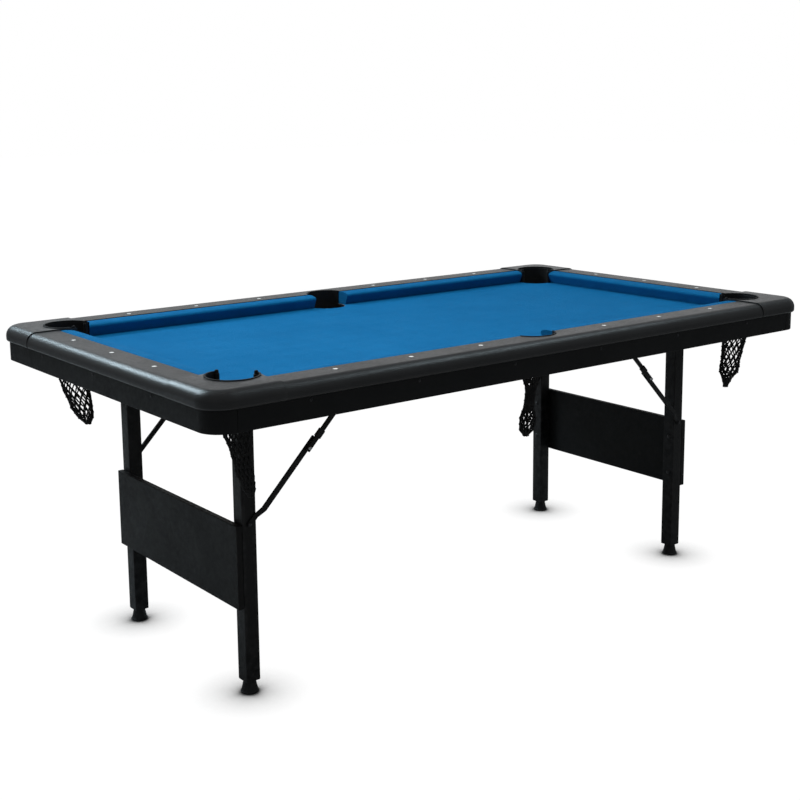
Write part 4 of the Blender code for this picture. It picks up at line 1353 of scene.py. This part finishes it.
shank = add_turned("knee_shank", ((0.0, 0.0029), (SHANK_LENGTH, 0.0029)), 20)
for side_name, side in SIDES:
    for end_name, end in ENDS:
        where = f"{side_name}_{end_name}"
        lower, upper = f"lower_link_{where}", f"upper_link_{where}"
        inner = side * KNEE_INNER_Y
        outer = side * max(abs(corner.y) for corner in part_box(upper))
        x, z = end * KNEE[0], KNEE[1]
        place_rivet(f"{where}_knee_rivet_inner", x, inner, z, -side, lower, rivet_bright)
        place_rivet(f"{where}_knee_rivet_outer", x, outer, z, side, lower, rivet_bright)
        stem = Matrix.Translation((x, inner, z)) @ turn_to((0.0, side, 0.0))
        put_on(copy_of(shank, f"{where}_knee_shank", stem), lower, rivet_bright, "screw_steel")
        place_rivet(
            f"{where}_leg_rivet", end * BRACE_PIN_X, side * LEG_RIVET_Y, BRACE_PIN_Z, side,
            f"leg_frame_{end_name}", screw_dark,
        )
        place_rivet(
            f"{where}_bracket_rivet", end * TOP_PIN[0], side * PLATE_OUTER_Y, TOP_PIN[1], side,
            "table", screw_dark,
        )
bpy.data.objects.remove(rivet_head)
bpy.data.objects.remove(shank)

# %% Place the panel bolts
LEG_WIDTH = 0.038
BOLT_INSET = 0.045
bolt = add_turned(
    "bolt",
    ((-0.0008, 0.0062), (0.0004, 0.0062), (0.0012, 0.0058), (0.0021, 0.0044), (0.0026, 0.0022)),
    32,
)
leg_y = (abs(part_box("leg_back_right")[0].y) + abs(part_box("leg_back_right")[1].y)) / 2
panel_low, panel_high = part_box("panel_right")
inner_face = panel_low.x - GAP - LEG_WIDTH
levels = (("low", panel_low.z + BOLT_INSET), ("high", panel_high.z - BOLT_INSET))
for side_name, side in SIDES:
    for end_name, end in ENDS:
        for level, z in levels:
            place = Matrix.Translation((end * inner_face, side * leg_y, z)) @ turn_to((-end, 0, 0))
            put_on(
                copy_of(bolt, f"{side_name}_{end_name}_panel_bolt_{level}", place),
                f"leg_frame_{end_name}", screw_dark, "screw_steel",
            )
bpy.data.objects.remove(bolt)
print("panel bolts:", len(SIDES) * len(ENDS) * len(levels))

# %% Place the bracket screws
FLANGE_INSET = 0.011
FLANGE_THICKNESS = 0.003
wood_screw = add_screw("wood_screw", 0.0040, 0.0018)
count = 0
for kind, inset in (("leg_bracket", 0.012), ("brace_bracket", 0.0)):
    for side_name, side in SIDES:
        for end_name, end in ENDS:
            where = f"{side_name}_{end_name}"
            low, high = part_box(f"{kind}_{where}")
            if (kind == "leg_bracket") == (side > 0):
                flange_y = low.y + FLANGE_INSET
            else:
                flange_y = high.y - FLANGE_INSET
            middle_x = (low.x + high.x) / 2
            for offset in ((-inset, inset) if inset else (0.0,)):
                place = Matrix.Translation((middle_x + offset, flange_y, high.z - FLANGE_THICKNESS))
                count += 1
                place = place @ turn_to((0, 0, -1), 53 * count)
                copy = copy_of(wood_screw, f"bracket_screw_{count:02d}", place)
                put_on(copy, "table", screw_dark, "screw_steel")
bpy.data.objects.remove(wood_screw)
print("bracket screws:", count)

# %% [markdown]
# ## Pocket nets
#
# Each pocket ends in a bag of knotted black string. A cylinder without ends gives the grid: its
# faces are poked, and when the grid's own edges are deleted the slanting ones are left, which
# are a diamond net. The points are then moved to hang as a limp bag. The edges become round
# string through a curve, and a knot sits at each crossing.

# %% Shape a limp bag
NET_COLUMNS, NET_ROWS = 12, 7
STRING_RADIUS = 0.0021
KNOT_RADIUS = 0.0034
HEM_DROP = 0.0022
net_top = board_bottom - GAP
net_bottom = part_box("net_back_right")[0].z
print("nets hang from", round(net_top, 4), "to", round(net_bottom, 4))
# Half widths of a bag, in metres, at shares of its depth.
CORNER_BAG = (
    (0.0, 0.0580), (0.10, 0.0530), (0.30, 0.0400), (0.50, 0.0355), (0.72, 0.0300), (0.88, 0.0220),
    (0.96, 0.0130), (1.0, 0.0050),
)
COLUMN_BAG = (
    (0.0, 0.0580), (0.10, 0.0500), (0.26, 0.0335), (0.50, 0.0290), (0.76, 0.0275), (0.84, 0.0165),
    (0.93, 0.0095), (1.0, 0.0045),
)
NARROW_BAG = (
    (0.0, 0.0580), (0.10, 0.0480), (0.28, 0.0300), (0.50, 0.0205), (0.74, 0.0180), (0.90, 0.0130),
    (1.0, 0.0050),
)
SIDE_BAG = (
    (0.0, 0.0580), (0.10, 0.0460), (0.26, 0.0220), (0.46, 0.0110), (0.62, 0.0110), (0.80, 0.0210),
    (0.92, 0.0165), (1.0, 0.0050),
)


def bag_radius(share, bag):
    """A bag's half width at a share of its depth."""
    for (above, wide), (below, next_wide) in zip(bag, bag[1:]):
        if share <= below:
            t = (share - above) / (below - above)
            return wide + (next_wide - wide) * t * t * (3 - 2 * t)
    return bag[-1][1]


def hang(point, centre, bag, seed, lean, squeeze, facing, turn):
    """Where a point of a straight grid hangs in a bag that is flattened along one direction."""
    angle = math.atan2(point.y - centre[1], point.x - centre[0])
    share = min(max((net_top - point.z) / (net_top - net_bottom), 0.0), 1.0)
    angle += turn * share
    stray = Vector((math.cos(angle) * 2.0, math.sin(angle) * 2.0, share * 5.0 + seed))
    radius = bag_radius(share, bag) * (1.0 + 0.22 * share * noise.noise(stray))
    flat = 1.0 - squeeze * min(share * 3.0, 1.0)
    across = radius * math.cos(angle - facing)
    through = radius * math.sin(angle - facing) * flat
    x = across * math.cos(facing) - through * math.sin(facing)
    y = across * math.sin(facing) + through * math.cos(facing)
    sway = share ** 1.6
    drop = 0.006 * noise.noise(stray + Vector((7.0, 0.0, 0.0))) * share * (1.0 - share)
    return Vector(
        (centre[0] + x + lean[0] * sway, centre[1] + y + lean[1] * sway, point.z + drop)
    )


# %% Turn a net's edges into string
def add_net(name, centre, *shape):
    """A net of round string, and the places of its crossings. shape is what hang takes."""
    deselect()
    depth = net_top - net_bottom - 0.004
    bpy.ops.mesh.primitive_cylinder_add(
        vertices=NET_COLUMNS, radius=0.06, depth=depth, end_fill_type="NOTHING",
        location=(centre[0], centre[1], net_top - 0.002 - depth / 2),
    )
    net = take(name)
    work_on(net)
    pick("EDGE", lambda m, d: abs(d.z) > 0.9)
    bpy.ops.mesh.subdivide(number_cuts=NET_ROWS - 1)
    bpy.ops.mesh.select_all(action="SELECT")
    bpy.ops.mesh.poke()
    pick("EDGE", lambda m, d: (abs(d.z) > 0.99 or abs(d.z) < 0.01) and m.z < net_top - 0.004)
    bpy.ops.mesh.delete(type="EDGE")
    leave_edit()
    for vertex in net.data.vertices:
        vertex.co = hang(vertex.co, centre, *shape)
    crossings = [vertex.co.copy() for vertex in net.data.vertices]
    work_on(net)
    bpy.ops.mesh.select_all(action="SELECT")
    bpy.ops.mesh.subdivide(number_cuts=2)
    bpy.ops.mesh.select_all(action="SELECT")
    bpy.ops.mesh.delete(type="ONLY_FACE")
    leave_edit()
    for vertex in net.data.vertices:
        wander = 0.0011 * noise.noise(vertex.co * 160.0)
        vertex.co += Vector((wander, -wander, 0.6 * wander))
    deselect()
    net.select_set(True)
    bpy.context.view_layer.objects.active = net
    bpy.ops.object.convert(target="CURVE")
    net = bpy.context.active_object
    net.data.bevel_depth = STRING_RADIUS
    net.data.bevel_resolution = 1
    net.data.use_fill_caps = True
    bpy.ops.object.convert(target="MESH")
    return bpy.context.active_object, crossings


def add_knots(name, crossings):
    """A small lumpy knot at each crossing, all in one mesh."""
    deselect()
    bpy.ops.mesh.primitive_uv_sphere_add(segments=7, ring_count=5, radius=KNOT_RADIUS)
    knot = take("knot")
    knots = []
    for number, place in enumerate(crossings):
        tilt = Matrix.Rotation(0.9 * number, 4, "X") @ Matrix.Rotation(1.7 * number, 4, "Z")
        stretch = Matrix.Diagonal((1.0, 0.8, 1.25, 1.0))
        knots.append(copy_of(knot, "knot", Matrix.Translation(place) @ tilt @ stretch))
    bpy.data.objects.remove(knot)
    return joined(knots, name)


# %% Hang the six nets
NET_SHAPES = {
    # place: (bag, seed, lean of the bottom in x and y, squeeze, direction of the width, turn)
    "front_left": (NARROW_BAG, 0.4, (0.026, -0.020), 0.40, -0.66, 0.9),
    "front_middle": (SIDE_BAG, 1.9, (-0.013, 0.008), 0.20, -0.66, 1.6),
    "front_right": (COLUMN_BAG, 2.6, (-0.020, 0.015), 0.35, -0.62, 0.8),
    "back_left": (CORNER_BAG, 2.3, (0.034, -0.026), 0.45, -0.66, 0.7),
    "back_middle": (SIDE_BAG, 0.9, (0.014, -0.008), 0.25, 0.30, 1.4),
    "back_right": (CORNER_BAG, 1.2, (0.016, -0.014), 0.38, -0.40, 0.9),
}


def hem_of(name, centre, radius):
    """A thick cord round the net's top edge, under the board."""
    deselect()
    bpy.ops.mesh.primitive_torus_add(
        location=(centre[0], centre[1], net_top - HEM_DROP), major_radius=radius,
        minor_radius=STRING_RADIUS, major_segments=72, minor_segments=10,
    )
    return take(name)


for place, shape in NET_SHAPES.items():
    side = -1 if place.startswith("front") else 1
    end = {"left": -1, "middle": 0, "right": 1}[place.split("_")[1]]
    centre = (end * nose_x, side * (side_pocket_y if end == 0 else nose_y))
    net, crossings = add_net(f"{place}_strings", centre, *shape)
    knots = add_knots(f"{place}_knots", crossings)
    hem = hem_of(f"{place}_hem", centre, bag_radius(0.0, shape[0]))
    net = joined([net, knots, hem], f"{place}_net")
    put_on(net, "table", string_black, "net_string", f"net_{place}", smooth=60.0)
print("net triangles:", sum(len(p.vertices) - 2 for p in net.data.polygons))

# %% [markdown]
# ## Staples
#
# Each net is stapled to the underside of the board. One staple is a thin bar bent down at both
# ends, copied round every pocket.

# %% Staple the nets
staple = add_block("staple", (-0.0055, -0.0006, -0.0050), (0.0055, 0.0006, -0.0038))
work_on(staple)
pick("FACE", lambda m, n: abs(n.x) > 0.9)
bpy.ops.mesh.extrude_faces_move(TRANSFORM_OT_shrink_fatten={"value": 0.0010})
pick("FACE", lambda m, n: n.z > 0.9 and abs(m.x) > 0.0056)
bpy.ops.mesh.extrude_region_move(TRANSFORM_OT_translate={"value": (0.0, 0.0, 0.0044)})
leave_edit()
ease_edges(staple, 0.0003, 2)
STAPLES_EACH = 10
rim = bag_radius(0.0, CORNER_BAG)
staples = []
for x, y, _ in POCKETS:
    for k in range(STAPLES_EACH):
        angle = math.tau * (k + 0.5) / STAPLES_EACH
        spot = Vector((x + rim * math.cos(angle), y + rim * math.sin(angle), net_top))
        place = Matrix.Translation(spot) @ Matrix.Rotation(angle, 4, "Z")
        staples.append(copy_of(staple, "staple_copy", place))
bpy.data.objects.remove(staple)
put_on(joined(staples, "net_staples"), "table", rivet_bright, "screw_steel")
print("staples:", len(staples))

# %% [markdown]
# ## Measure and finish
#
# The visual model may stand a little proud of the CAD model. Both boxes are printed.

# %% Measure and finish
boxes = {"cad": cad_box, "visual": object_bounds()}
for name, (low, high) in boxes.items():
    print(name, [round(c, 4) for c in low], [round(c, 4) for c in high])
